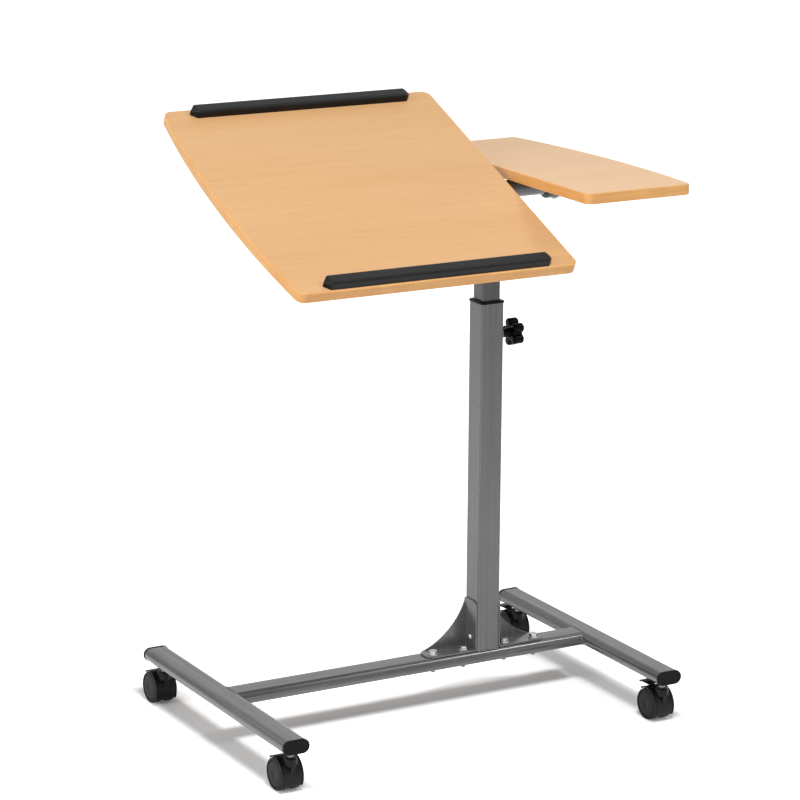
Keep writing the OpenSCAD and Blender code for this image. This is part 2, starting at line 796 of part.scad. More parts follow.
// The housing between the wheels: a web up to the mudguard and a swivel boss
module hood(braked) difference() {
    union() {
        across_x(web_t) {
            translate([trail, wheel_r]) {
                circle(r = guard_in - 2);
                guard_sector(guard_in + 0.3 * guard_t);
            }
            polygon([
                [1 - hood_boss, hood_top - 4], [1 - hood_boss, pin_low - 2], [trail - guard_in + 1, wheel_r],
                [trail, wheel_r], [trail + 4, wheel_r + guard_in - 1], [hood_boss - 1, hood_top - 4]
            ]);
            if (braked) {
                translate([pedal_y, pedal_z]) circle(r = pedal_eye);
                polygon([
                    [pedal_y - pedal_eye, pedal_z], [pedal_y + pedal_eye, pedal_z],
                    [pedal_y + 1, wheel_r + guard_in / 2], [trail, wheel_r + guard_in / 2]
                ]);
            }
        }
        across_x(2 * guard_half) translate([trail, wheel_r]) difference() {
            guard_sector(guard_out);
            circle(r = guard_in);
        }
        difference() {
            translate([0, 0, pin_low - 3]) rod(hood_boss, hood_top - pin_low + 3);
            for (side = [0, 1]) mirror([side, 0, 0]) translate([0, trail, wheel_r])
                rod_x(guard_in + guard_t / 2, web_t / 2, guard_half);
        }
    }
    translate([0, trail, wheel_r]) rod_x(axle_d / 2 + run_gap, -web_t, web_t);
    translate([0, 0, pin_low]) rod(stem_d / 2 + run_gap, caster_h);
    if (braked) translate([0, pedal_y, pedal_z]) rod_x(pedal_pin / 2 + run_gap, -web_t, web_t);
}

// A wheel's half section: a rounded tread, a flat outer face with a groove, and its bore
module wheel() rotate([0, 90, 0]) rotate_extrude() difference() {
    union() {
        translate([axle_d / 2, 0]) square([wheel_r - axle_d / 2, wheel_w - 1.5]);
        translate([axle_d / 2, 0]) square([wheel_r - axle_d / 2 - 1.5, wheel_w]);
        translate([wheel_r - 1.5, wheel_w - 1.5]) circle(r = 1.5);
    }
    translate([wheel_r - 4.5, wheel_w - 0.6]) square([1.2, 1]);
    translate([axle_d / 2 - 1, wheel_w - 1]) square([6, 2]);
}

module wheel_pair() for (side = [0, 1]) mirror([side, 0, 0]) translate([wheel_in, trail, wheel_r]) wheel();

module axle() translate([0, trail, wheel_r]) rod_x(axle_d / 2, -wheel_in - wheel_w + 1.5, wheel_in + wheel_w - 1.5);

// A lever over the wheels: a blade with a slot for the housing's web, two lugs
// and the pin through the web
module pedal() translate([0, pedal_y, pedal_z]) {
    lug_in = web_t / 2 + seat_gap;
    lug_t = 3;
    rod_x(pedal_pin / 2, -lug_in - lug_t, lug_in + lug_t);
    for (side = [0, 1]) mirror([side, 0, 0]) translate([lug_in + lug_t / 2, 0, 0]) across_x(lug_t) {
        circle(r = pedal_eye);
        translate([-pedal_eye, 0]) square([2 * pedal_eye, 2]);
    }
    difference() {
        across_x(pedal_w) polygon([
            [-6, 0.8], [4, 0.6], [pedal_len - 0.3, -1.2], [pedal_len, 0.4],
            [pedal_len - 1.3, 1.6], [4, 3.4], [-6, 3.4]
        ]);
        translate([-lug_in, -8, -4]) cube([2 * lug_in, 8 + pedal_eye + 0.6, 10]);
    }
}

module hood_front_left() caster(foot_left, stem_ys[0], "#202021") hood(false);
module hood_front_right() caster(foot_right, stem_ys[0], "#202021") hood(true);
module hood_back_left() caster(foot_left, stem_ys[1], "#202021") hood(false);
module hood_back_right() caster(foot_right, stem_ys[1], "#202021") hood(true);
module wheels_front_left() caster(foot_left, stem_ys[0], "#2c2c2d") wheel_pair();
module wheels_front_right() caster(foot_right, stem_ys[0], "#2c2c2d") wheel_pair();
module wheels_back_left() caster(foot_left, stem_ys[1], "#2c2c2d") wheel_pair();
module wheels_back_right() caster(foot_right, stem_ys[1], "#2c2c2d") wheel_pair();
module axle_front_left() caster(foot_left, stem_ys[0], "silver") axle();
module axle_front_right() caster(foot_right, stem_ys[0], "silver") axle();
module axle_back_left() caster(foot_left, stem_ys[1], "silver") axle();
module axle_back_right() caster(foot_right, stem_ys[1], "silver") axle();
module pedal_front_right() caster(foot_right, stem_ys[0], "#202021") pedal();
module pedal_back_right() caster(foot_right, stem_ys[1], "#202021") pedal();

foot_tube_left();
foot_tube_right();
cross_bar();
cap_front_left();
cap_front_right();
cap_back_left();
cap_back_right();
outer_post();
post_sleeve();
height_nut();
gusset_left();
gusset_right();
gusset_bolts();
bar_nuts();
post_screws();
stem_nuts();
caster_stems();
height_knob();
height_stud();
inner_post();
post_glide();
pivot_tube();
tube_plugs();
saddle_inner();
saddle_outer();
saddle_screws();
side_board_screws();
side_board();
side_edge_band();
main_board();
main_edge_band();
front_ledge();
back_ledge();
clamp_right();
clamp_left();
clamp_screws();
ledge_screws();
clamp_bolt();
clamp_nut();
tilt_knob();
tilt_stud();
tilt_nut();
hood_front_left();
hood_front_right();
hood_back_left();
hood_back_right();
wheels_front_left();
wheels_front_right();
wheels_back_left();
wheels_back_right();
axle_front_left();
axle_front_right();
axle_back_left();
axle_back_right();
pedal_front_right();
pedal_back_right();
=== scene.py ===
from math import atan2, cos, hypot, pi, radians, sin, sqrt

import bmesh
import bpy
import numpy as np
from mathutils import Matrix, Vector
from mathutils.geometry import tessellate_polygon


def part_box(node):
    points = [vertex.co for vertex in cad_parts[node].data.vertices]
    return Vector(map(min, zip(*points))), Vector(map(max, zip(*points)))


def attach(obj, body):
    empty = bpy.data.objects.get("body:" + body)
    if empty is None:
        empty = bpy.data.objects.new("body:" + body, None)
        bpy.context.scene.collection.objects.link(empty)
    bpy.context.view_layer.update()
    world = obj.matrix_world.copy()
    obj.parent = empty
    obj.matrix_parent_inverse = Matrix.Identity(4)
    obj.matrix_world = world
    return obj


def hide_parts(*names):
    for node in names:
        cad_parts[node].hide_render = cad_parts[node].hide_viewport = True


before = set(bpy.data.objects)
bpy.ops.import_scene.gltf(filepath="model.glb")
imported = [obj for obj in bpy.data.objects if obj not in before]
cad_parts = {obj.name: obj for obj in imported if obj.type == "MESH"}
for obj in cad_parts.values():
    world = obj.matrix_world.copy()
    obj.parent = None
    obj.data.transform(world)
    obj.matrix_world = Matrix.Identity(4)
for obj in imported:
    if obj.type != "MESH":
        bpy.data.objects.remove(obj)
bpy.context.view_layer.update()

# Camera: it stands in front of the cart, to its left and a little above the boards,
# and looks down along a long lens, so that the upright edges stay nearly parallel.
CAMERA_PLACE = (-1.9218, -3.4043, 1.4026)
CAMERA_TURN = radians(29.231)
CAMERA_DROP = radians(14.311)
CAMERA_ROLL = radians(0.40)
CAMERA_LENS = 147.0
CAMERA_FAR = 100.0


def set_out(name, data):
    """A new object in the scene."""
    made = bpy.data.objects.new(name, data)
    bpy.context.scene.collection.objects.link(made)
    return made


def facing_along(place, direction):
    """A place, turned so that its own -Z looks along the direction."""
    return Matrix.Translation(place) @ Vector(direction).to_track_quat("-Z", "Y").to_matrix().to_4x4()


camera_view = bpy.data.cameras.new("camera")
camera_view.lens = CAMERA_LENS
camera_view.clip_end = CAMERA_FAR
camera = set_out("camera", camera_view)
camera.matrix_world = facing_along(CAMERA_PLACE, (
    sin(CAMERA_TURN) * cos(CAMERA_DROP),
    cos(CAMERA_TURN) * cos(CAMERA_DROP),
    -sin(CAMERA_DROP),
)) @ Matrix.Rotation(CAMERA_ROLL, 4, "Z")
bpy.context.scene.camera = camera
bpy.context.scene.view_settings.view_transform = "Standard"

# Floor: a plain white studio floor with no edge in sight. It takes the cart's soft shadow
# under the feet and the bar, and further out it is the white of the room behind it.
MM = 0.001
FLOOR_HALF = 20.0
FLOOR_LIFT = 0.09
FOOT_LINES = (-0.2535, 0.269)
FOOT_REACH = 0.19
BAR_LINE = 0.031
BAR_REACH = 0.235
SHADE_EDGE = (0.012, 0.058)


class Level:
    """One number over a surface: a socket whose sums, differences and products are Math nodes."""

    def __init__(self, nodes, socket):
        self.nodes = nodes
        self.socket = socket

    def math(self, operation, *numbers):
        return self.nodes.node("ShaderNodeMath", {"operation": operation}, dict(enumerate(numbers)))

    def __add__(self, other):
        return self.math("ADD", self, other)

    def __sub__(self, other):
        return self.math("SUBTRACT", self, other)

    def __rsub__(self, other):
        return self.math("SUBTRACT", other, self)

    def __mul__(self, other):
        return self.math("MULTIPLY", self, other)

    def __abs__(self):
        return self.math("ABSOLUTE", self)

    __radd__ = __add__
    __rmul__ = __mul__


def least(first, second):
    return first.math("MINIMUM", first, second)


def most(first, second):
    return first.math("MAXIMUM", first, second)


class Nodes:
    """A node tree whose one shader is fed by expressions on levels."""

    def __init__(self, tree, shader):
        self.tree = tree
        self.shader = tree.nodes[shader]

    def node(self, kind, settings, sockets, output=0):
        """Adds a node: its settings first, then the values or links of its sockets."""
        made = self.tree.nodes.new(kind)
        for setting, value in settings.items():
            setattr(made, setting, value)
        for socket, value in sockets.items():
            if isinstance(value, Level):
                self.tree.links.new(value.socket, made.inputs[socket])
            else:
                made.inputs[socket].default_value = value
        return Level(self, made.outputs[output])

    def seen(self):
        """1 for the rays that show a surface: straight to the camera, in a gloss or through glass."""
        straight, gloss, glass = [
            self.node("ShaderNodeLightPath", {}, {}, "Is %s Ray" % kind)
            for kind in ("Camera", "Glossy", "Transmission")
        ]
        return most(most(straight, gloss), glass)

    def feed(self, **links):
        for socket, level in links.items():
            self.tree.links.new(level.socket, self.shader.inputs[socket.replace("_", " ")])
        return self


class Finish(Nodes):
    """A surface finish: one material with one Principled shader, for one slot of the record."""

    def __init__(self, name, slot, **constants):
        self.material = bpy.data.materials.new(name)
        self.material.use_nodes = True
        super().__init__(self.material.node_tree, "Principled BSDF")
        self.slot = slot
        for socket, value in constants.items():
            self.shader.inputs[socket.replace("_", " ")].default_value = value

    def place(self, stretch=(1, 1, 1), turn=(0, 0, 0), centre=(0, 0, 0)):
        """Object coordinates, moved to a centre, turned, and then stretched along each axis."""
        spot = self.node("ShaderNodeTexCoord", {}, {}, "Object")
        if any(turn) or any(centre):
            spot = self.node(
                "ShaderNodeMapping", {"vector_type": "TEXTURE"},
                {"Vector": spot, "Location": centre, "Rotation": turn},
            )
        return self.node("ShaderNodeMapping", {}, {"Vector": spot, "Scale": stretch})

    def noise(self, scale, detail, rough=0.5, bend=0.0, spot=None):
        """Noise of that many grains in a metre, on Object coordinates or on a spot of its own."""
        return self.node("ShaderNodeTexNoise", {}, {
            "Vector": spot or self.place(), "Scale": scale, "Detail": detail, "Roughness": rough,
            "Distortion": bend,
        })

    def step(self, level, low, high):
        """0 below low, 1 above high and an even rise between them."""
        return self.node("ShaderNodeMapRange", {}, {"Value": level, 1: low, 2: high, 3: 0.0, 4: 1.0})

    def colour(self, level, first, second):
        """The first colour where the level is 0 and the second where it is 1."""
        ends = [end if isinstance(end, Level) else (*end, 1.0) for end in (first, second)]
        return self.node("ShaderNodeMix", {"data_type": "RGBA"}, {0: level, 6: ends[0], 7: ends[1]}, 2)

    def bump(self, height, depth, strength):
        """A bump of that depth in millimetres."""
        return self.node("ShaderNodeBump", {}, {
            "Height": height, "Distance": depth * MM, "Strength": strength,
        })


floor = Finish("studio floor", None, Roughness=0.9, Specular_IOR_Level=0.1, Emission_Strength=1.0)
floor_spot = floor.place()
floor_x, floor_y = [
    floor.node("ShaderNodeSeparateXYZ", {}, {"Vector": floor_spot}, axis) for axis in ("X", "Y")
]
beside_feet = least(abs(floor_x - FOOT_LINES[0]), abs(floor_x - FOOT_LINES[1]))
beside_feet = most(beside_feet, abs(floor_y - BAR_LINE) - FOOT_REACH)
beside_bar = most(abs(floor_y - BAR_LINE), abs(floor_x) - BAR_REACH)
open_floor = floor.step(least(beside_feet, beside_bar), *SHADE_EDGE)
floor.feed(
    Base_Color=floor.colour(floor.noise(0.8, 2.0), (0.85, 0.85, 0.85), (0.87, 0.87, 0.87)),
    Emission_Color=floor.colour(
        floor.seen() * (FLOOR_LIFT + (1.0 - FLOOR_LIFT) * open_floor), (0, 0, 0), (1, 1, 1),
    ),
)
floor_mesh = bpy.data.meshes.new("studio_floor")
floor_mesh.from_pydata(
    [(x * FLOOR_HALF, y * FLOOR_HALF, 0) for x, y in ((-1, -1), (1, -1), (1, 1), (-1, 1))],
    [], [(0, 1, 2, 3)],
)
floor_mesh.materials.append(floor.material)
set_out("studio_floor", floor_mesh)

# Studio light: an even white room, one soft lamp high in front that draws the shadows under the
# tubes, a wide low one on the left for the left faces, and a weak one for glints on front edges.
ROOM_LIGHT = 0.26


def soft_lamp(name, place, aim, side, power):
    """A flat square lamp that faces the point it is aimed at."""
    shape = bpy.data.lights.new(name, "AREA")
    shape.shape = "RECTANGLE"
    shape.size = shape.size_y = side
    shape.energy = power
    set_out(name, shape).matrix_world = facing_along(place, Vector(aim) - Vector(place))


soft_lamp("lamp_high", (-0.55, -1.55, 2.9), (0, 0, 0.05), 0.5, 54.0)
soft_lamp("lamp_left", (-3.0, -0.6, 1.5), (0, 0, 0.4), 1.4, 40.0)
soft_lamp("lamp_right", (1.6, -1.0, 2.45), (0.1, 0, 0.3), 0.35, 10.0)

world = bpy.data.worlds.new("studio room")
bpy.context.scene.world = world
world.use_nodes = True
room = Nodes(world.node_tree, "Background")
room.shader.inputs["Color"].default_value = (1.0, 1.0, 1.0, 1.0)
room.feed(Strength=most(room.seen(), ROOM_LIGHT))

# Feet: two flat-oval steel tubes that run from front to back, rolled and welded, with a satin
# silver-grey powder coat. Their open ends are closed by the plastic caps further on. From here
# on every size is in millimetres, and piece() turns the finished points into metres.
WALL = 1.5
TUBE_EDGE = 0.3
OVAL_STEPS = 12
SHARP = radians(38)
SAME_POINT = 1e-7
IN_PLACE = Matrix()


def box(node):
    """A node's lowest and highest corners."""
    return [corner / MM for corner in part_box(node)]


def middle(node):
    """A node's centre and its size."""
    low, high = box(node)
    return (low + high) / 2, high - low


def drawn_in(loop, amount):
    """A closed loop moved to its left by the amount: each point goes along the sum of its two sides'
    normals, divided by one plus their product, which keeps both sides at that distance."""
    ahead = np.roll(loop, -1, axis=0) - loop
    ahead /= np.maximum(np.linalg.norm(ahead, axis=1), 1e-9)[:, None]
    normal = np.column_stack((-ahead[:, 1], ahead[:, 0]))
    before = np.roll(normal, 1, axis=0)
    product = (normal * before).sum(axis=1)[:, None]
    return loop + amount * (normal + before) / np.maximum(1 + product, 0.2)


def rounded_loop(width, height, radius, steps=8):
    """Four quarter circles of one radius, counter-clockwise, joined by straight sides."""
    turns = np.linspace(0.02, pi / 2 - 0.02, steps)
    corners = np.array([[1, 1], [-1, 1], [-1, -1], [1, -1]])
    starts = corners * [width / 2 - radius, height / 2 - radius]
    angles = turns[None, :] + (np.arange(4) * pi / 2)[:, None]
    arcs = starts[:, None, :] + radius * np.stack((np.cos(angles), np.sin(angles)), axis=-1)
    return arcs.reshape(-1, 2)


def walls(width, height, radius, steps=8):
    """The outer and the inner loop of a tube."""
    return [rounded_loop(width - 2 * deep, height - 2 * deep, radius - deep, steps) for deep in (0, WALL)]


def shell(rings, joined=False):
    """Four-sided faces between neighbouring rings of points. The last ring meets the first one where
    they are joined, and otherwise both ends are filled."""
    count, size = rings.shape[:2]
    index = np.arange(count * size).reshape(count, size)
    here = index if joined else index[:-1]
    there = np.roll(index, -1, axis=0) if joined else index[1:]
    quads = np.stack((here, np.roll(here, -1, axis=1), np.roll(there, -1, axis=1), there), axis=-1)
    ends = [] if joined else [index[:1], index[-1:]]
    return rings.reshape(-1, 3), [quads.reshape(-1, 4)] + ends


def at_height(loop, height):
    return np.column_stack((loop, np.full(len(loop), height)))


def stacked(steps, joined=False):
    """A shell through loops, each with the amount that it is drawn in and its height."""
    rings = [at_height(drawn_in(loop, inset), height) for loop, inset, height in steps]
    return shell(np.stack(rings), joined)


def tube(outer, inner, length):
    """A pipe along Z: up the outer loop and back down the inner one, with both rims rounded off."""
    edge = TUBE_EDGE
    rim = (1 - sqrt(0.5)) * edge
    return stacked([
        (outer, edge, 0), (outer, rim, rim), (outer, 0, edge), (outer, 0, length - edge),
        (outer, rim, length - rim), (outer, edge, length),
        (inner, -edge, length), (inner, 0, length - edge), (inner, 0, edge), (inner, -edge, 0),
    ], True)


def moved(part, matrix):
    points, groups = part
    grid = np.array(matrix)
    return points @ grid[:3, :3].T + grid[:3, 3], groups


def shifted(x, y, z):
    return Matrix.Translation((x, y, z))


def facing(axis, way=1):
    """A turn that lays Z along X or Y, or against it where way is -1."""
    about, sign = {"x": ("Y", 1), "y": ("X", -1)}[axis]
    return Matrix.Rotation(sign * way * pi / 2, 4, about)


def piece(name, parts, lay, finish, body, *stands_for):
    """One mesh from closed shells, laid in its place and turned into metres: doubles merged, faces turned
    outwards, smooth up to the sharp angle."""
    starts = np.cumsum([0] + [len(points) for points, _ in parts])
    faces = [(group + start).tolist() for start, (_, groups) in zip(starts, parts) for group in groups]
    points, faces = moved((np.vstack([points for points, _ in parts]), sum(faces, [])), lay)
    mesh = bpy.data.meshes.new(name)
    mesh.from_pydata((points * MM).tolist(), [], faces)
    form = bmesh.new()
    form.from_mesh(mesh)
    bmesh.ops.remove_doubles(form, verts=form.verts, dist=SAME_POINT)
    bmesh.ops.recalc_face_normals(form, faces=form.faces)
    form.to_mesh(mesh)
    form.free()
    mesh.polygons.foreach_set("use_smooth", np.ones(len(mesh.polygons), bool))
    mesh.set_sharp_from_angle(angle=SHARP)
    mesh.materials.append(finish.material)
    made = set_out(name, mesh)
    made.modifiers.new("even faces", "WEIGHTED_NORMAL").keep_sharp = True
    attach(made, body)
    if stands_for:
        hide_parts(*stands_for)


def frame_paint(name, along, drawn, rough, dark, light):
    """Powder coat over drawn tube: a fine metal fleck, an orange-peel skin, and streaks along the tube
    that are as strong as it is drawn."""
    coat = Finish(name, "frame_paint", Metallic=0.3, Specular_IOR_Level=0.45)
    across = [3.0 if axis == along else 300.0 for axis in "xyz"]
    streaks = coat.noise(1.0, 3.0, spot=coat.place(across))
    cloud = coat.noise(16.0, 4.0)
    fleck = coat.noise(1900.0, 2.0)
    peel = coat.noise(620.0, 2.0)
    tone = drawn * streaks + 0.25 * cloud + 0.35 * fleck
    centre = 0.5 * drawn + 0.30
    return coat.feed(
        Base_Color=coat.colour(
            coat.step(tone, centre - 0.16, centre + 0.16),
            (dark, 1.01 * dark, 1.03 * dark), (light, 1.01 * light, 1.03 * light),
        ),
        Roughness=rough + 0.14 * cloud,
        Normal=coat.bump(peel + 0.4 * fleck, 0.05, 0.45),
    )


# The feet, the cross bar and the pivot tube take the post's own coat with a darker range, as painted shade:
# it stands for the shade that the feet and the bar show. The streaks along the tubes are roll marks.
shaded_coat_x = frame_paint("frame paint along x with painted shade", "x", 0.9, 0.11, 0.066, 0.150)
shaded_coat_y = frame_paint("frame paint along y with painted shade", "y", 0.9, 0.11, 0.066, 0.150)
paint_z = frame_paint("frame paint along z", "z", 0.5, 0.20, 0.098, 0.150)

for side in ("left", "right"):
    foot = "foot_tube_" + side
    centre, size = middle(foot)
    start = shifted(centre.x, centre.y - size.y / 2, centre.z)
    oval = tube(*walls(size.x, size.z, size.z / 2, OVAL_STEPS), size.y)
    piece("foot_" + side, [oval], start @ facing("y"), shaded_coat_y, "base", foot)

foot_centre, foot_size = middle("foot_tube_left")
foot_xs = (foot_centre.x, middle("foot_tube_right")[0].x)

# Cross bar: a wider flat-oval tube of the same height. Its ends are cut to the round sides
# of the feet and welded on all round, and the ripples of the bead show through the paint.
BEAD = 1.3
BEAD_SWELL = 0.13
FIT_GAP = 0.2

bar_centre, bar_size = middle("cross_bar")


def other_leg(longest, leg):
    """A right-angled triangle's third side: the root of the longest squared less the leg squared."""
    return np.sqrt(np.maximum(longest ** 2 - leg ** 2, 0))


def foot_side(height):
    """How far a foot's skin stands from its middle: its flat half width plus the round side's reach,
    the root of the radius squared less the height squared."""
    radius = foot_size.z / 2
    return foot_size.x / 2 - radius + other_leg(radius, height)


def bar_ring(loop, side):
    """A loop of the bar carried along X to the skin of the foot on that side."""
    heights = loop[:, 1]
    reach = foot_side(heights) - FIT_GAP
    xs = foot_xs[0] + reach if side < 0 else foot_xs[1] - reach
    return np.column_stack((xs, bar_centre.y + loop[:, 0], bar_centre.z + heights))


bar_outer, bar_inner = walls(bar_size.y, bar_size.z, bar_size.z / 2, OVAL_STEPS)
bar_rings = [bar_ring(loop, side) for loop, side in (
    (bar_outer, -1), (bar_outer, 1), (bar_inner, 1), (bar_inner, -1),
)]
piece("cross_tube", [shell(np.stack(bar_rings), True)], IN_PLACE, shaded_coat_x, "base", "cross_bar")


def round_turns(count):
    return np.linspace(0, 2 * pi, count, endpoint=False)


def bead(path, outward, ripples, upward=(0, 0, 1), radius=BEAD):
    """A weld bead: circles round each point of a closed path, in the plane of the outward and upward
    directions, whose radius swells and shrinks along the path as a sine."""
    count = len(path)
    swell = radius * (1 + BEAD_SWELL * np.sin(np.arange(count) / count * 2 * pi * ripples))
    turns = round_turns(10)[None, :, None]
    circle = np.cos(turns) * outward[:, None, :] + np.sin(turns) * np.array(upward, float)
    return shell(path[:, None, :] + swell[:, None, None] * circle, True)


def spread(loop, count):
    """Points at even distances along a closed loop."""
    closed = np.vstack((loop, loop[:1]))
    length = np.concatenate(([0], np.cumsum(np.linalg.norm(np.diff(closed, axis=0), axis=1))))
    spots = np.linspace(0, length[-1], count, endpoint=False)
    return np.column_stack([np.interp(spots, length, closed[:, axis]) for axis in (0, 1)])


def outward_of(loop):
    """Unit vectors that point out of a counter-clockwise loop."""
    along = np.roll(loop, -1, axis=0) - np.roll(loop, 1, axis=0)
    along /= np.linalg.norm(along, axis=1)[:, None]
    return np.column_stack((along[:, 1], -along[:, 0]))


bead_loop = spread(bar_outer, 400)
bead_out = np.column_stack((np.zeros(400), outward_of(bead_loop)))
bar_beads = [
    bead(bar_ring(drawn_in(bead_loop, 0.5), side), bead_out, ripples=46, upward=(1, 0, 0))
    for side in (-1, 1)
]
piece("bar_welds", bar_beads, IN_PLACE, paint_z, "base")

# End caps: four black plastic caps pushed into the feet. Each has a thick oval face with
# rounded edges, a shallow dished middle, and a plug in the tube.


def rounding(edge, low, high, steps=4):
    """Insets and heights up a wall from low to high, whose two edges are quarter circles."""
    turns = np.linspace(0, pi / 2, steps)
    corner = list(zip(edge * (1 - np.sin(turns)), edge * (1 - np.cos(turns))))
    lower = [(inset, low + rise) for inset, rise in corner]
    return lower + [(inset, high - rise) for inset, rise in corner[::-1]]


def plate(loops, low, high, edge, steps=4):
    """Rounded walls along each loop, the first the outside and the rest holes. Both faces are the loops
    drawn in by the edge and filled between them."""
    points = []
    groups = []
    rims = ([], [])
    start = 0
    for loop in loops:
        wall, (quads, *ends) = stacked([(loop, *level) for level in rounding(edge, low, high, steps)])
        points.append(wall)
        groups.append(quads + start)
        for rim, end in zip(rims, ends):
            rim.append(end[0] + start)
        start += len(wall)
    points = np.vstack(points)
    for rim in rims:
        outlines = [[Vector((x, y, 0)) for x, y in points[index, :2]] for index in rim]
        groups.append(np.concatenate(rim)[np.array(tessellate_polygon(outlines))])
    return points, groups


def black_plastic(name, slot, dark, light, rough, grain=1700.0, gloss=0.09):
    """Moulded black plastic: a fine spark-eroded texture, a greyer bloom in patches and a satin skin."""
    skin = Finish(name, slot, Specular_IOR_Level=gloss)
    fine = skin.noise(grain, 2.0)
    cloud = skin.noise(55.0, 4.0)
    bloom = skin.step(0.7 * cloud + 0.3 * fine, 0.38, 0.68)
    return skin.feed(
        Base_Color=skin.colour(bloom, (dark, dark, dark * 1.02), (light, light, light * 1.03)),
        Roughness=rough - 0.06 + 0.16 * cloud,
        Normal=skin.bump(fine, 0.06, 0.5),
    )


cap_plastic = black_plastic("cap plastic", "black_plastic", 0.004, 0.008, 0.42)
for end, out in (("front", -1), ("back", 1)):
    for side in ("left", "right"):
        cap = "cap_" + end + "_" + side
        centre, size = middle(cap)
        tube_end = foot_centre.y + out * foot_size.y / 2
        face = abs(centre.y + out * size.y / 2 - tube_end)
        rim, dish, plug = [
            rounded_loop(size.x - less, size.z - less, size.z / 2 - tight, OVAL_STEPS)
            for less, tight in ((0, 0.01), (7, 3.6), (4.1, 2.1))
        ]
        button = stacked([
            (plug, 0, face - size.y), (plug, 0, 0), (rim, 0.3, 0), (rim, 0, 0.3), (rim, 0, face - 1.5),
            (rim, 0.2, face - 0.7), (rim, 0.7, face - 0.2), (rim, 1.5, face),
            (dish, -0.6, face), (dish, 0, face - 0.4),
        ])
        lay = shifted(centre.x, tube_end, centre.z) @ facing("y", out)
        piece("end_" + cap, [button], lay, cap_plastic, "base", cap)

# Post: a square steel tube with rounded corners, welded upright on the cross bar. The
# thinner inner tube slides in it, and a black plastic guide with a thin collar lines its mouth.
POST_CORNER = 3.0
INNER_CORNER = 2.5

post_centre, post_size = middle("outer_post")
post_low, post_top = [corner.z for corner in box("outer_post")]
post_outer, post_inner = walls(post_size.x, post_size.y, POST_CORNER)
post_foot = shifted(post_centre.x, post_centre.y, post_low)
piece("post_tube", [tube(post_outer, post_inner, post_size.z)], post_foot, paint_z, "base", "outer_post")

post_loop = spread(post_outer, 300)
post_out = at_height(outward_of(post_loop), 0)
post_bead = bead(at_height(drawn_in(post_loop, 0.4), 0), post_out, ripples=40)
piece("post_weld", [post_bead], post_foot, paint_z, "base")

slider_centre, slider_size = middle("inner_post")
slider_outer, slider_inner = walls(slider_size.x, slider_size.y, INNER_CORNER)
slider_low = box("inner_post")[0].z
pivot_centre, pivot_size = middle("pivot_tube")
to_slider = shifted(slider_centre.x, slider_centre.y, 0)


def saddled(loop, low):
    """A wall of the slider from low up to the underside of the pivot tube: each point's height is the
    tube's axis less the root of the radius squared less the point's own depth squared."""
    tops = pivot_centre.z - other_leg(pivot_size.z / 2, loop[:, 1])
    return [at_height(loop, low), np.column_stack((loop, tops))]


# The inner tube has the post's own coat, made darker here as painted shade: it stands for the shade that the
# boards cast on it.
shaded_slider_paint = frame_paint("slider paint with painted shade", "z", 0.5, 0.20, 0.050, 0.088)
slider_rings = np.stack(saddled(slider_outer, slider_low) + saddled(slider_inner, slider_low)[::-1])
piece("slider_tube", [shell(slider_rings, True)], to_slider, shaded_slider_paint, "lift", "inner_post")

collar_low, collar_high = box("post_sleeve")
collar_size = collar_high - collar_low
collar_bottom, collar_top = collar_low.z, collar_high.z
collar_outer = rounded_loop(collar_size.x, collar_size.y, POST_CORNER + 1)
guide_outer = rounded_loop(*[side - 2 * WALL - 0.2 for side in post_size.xy], POST_CORNER - WALL)
guide_inner = rounded_loop(*[side + 0.3 for side in slider_size.xy], INNER_CORNER)
collar = stacked([
    (guide_outer, 0, collar_bottom), (guide_outer, 0, post_top), (collar_outer, 0.3, post_top),
    (collar_outer, 0, post_top + 0.4), (collar_outer, 0, collar_top - 1.1),
    (collar_outer, 0.35, collar_top - 0.35), (collar_outer, 1.1, collar_top),
    (guide_inner, -0.8, collar_top), (guide_inner, 0, collar_top - 0.8), (guide_inner, 0, collar_bottom),
], True)
piece("post_collar", [collar], shifted(post_centre.x, post_centre.y, 0), cap_plastic, "base", "post_sleeve")

# Gussets: two pressed steel brackets that stiffen the foot of the post. Each has a base
# flange, an upright flange and a web behind, whose outer edge is cut to a hollow curve.
SHEET = 2.0
SHEET_EDGE = 0.4
GUSSET_CORNER = 7.0
GUSSET_ARC = 97.0
WEB_SHORT = 10.0
WEB_DROP = 4.0
WEB_SINK = 0.1


def filleted(corners, radius, steps=5):
    """A closed outline whose corners are quadratic curves between points on both sides, each at the
    radius or half the side from the corner, whichever is less."""
    corners = np.array(corners, float)
    before = np.roll(corners, 1, axis=0) - corners
    after = np.roll(corners, -1, axis=0) - corners
    back, ahead = [np.linalg.norm(side, axis=1)[:, None] for side in (before, after)]
    reach = np.minimum(np.array(radius, float)[:, None], 0.48 * np.minimum(back, ahead))
    first = (corners + before / back * reach)[:, None]
    last = (corners + after / ahead * reach)[:, None]
    share = np.linspace(0, 1, steps)[None, :, None]
    curve = (1 - share) ** 2 * first + 2 * share * (1 - share) * corners[:, None] + share ** 2 * last
    return curve.reshape(-1, 2)


def arc(centre, radius, start, end, count):
    """Points on a circle from one angle to another, in radians."""
    angles = np.linspace(start, end, count)
    return np.array(centre) + radius * np.column_stack((np.cos(angles), np.sin(angles)))


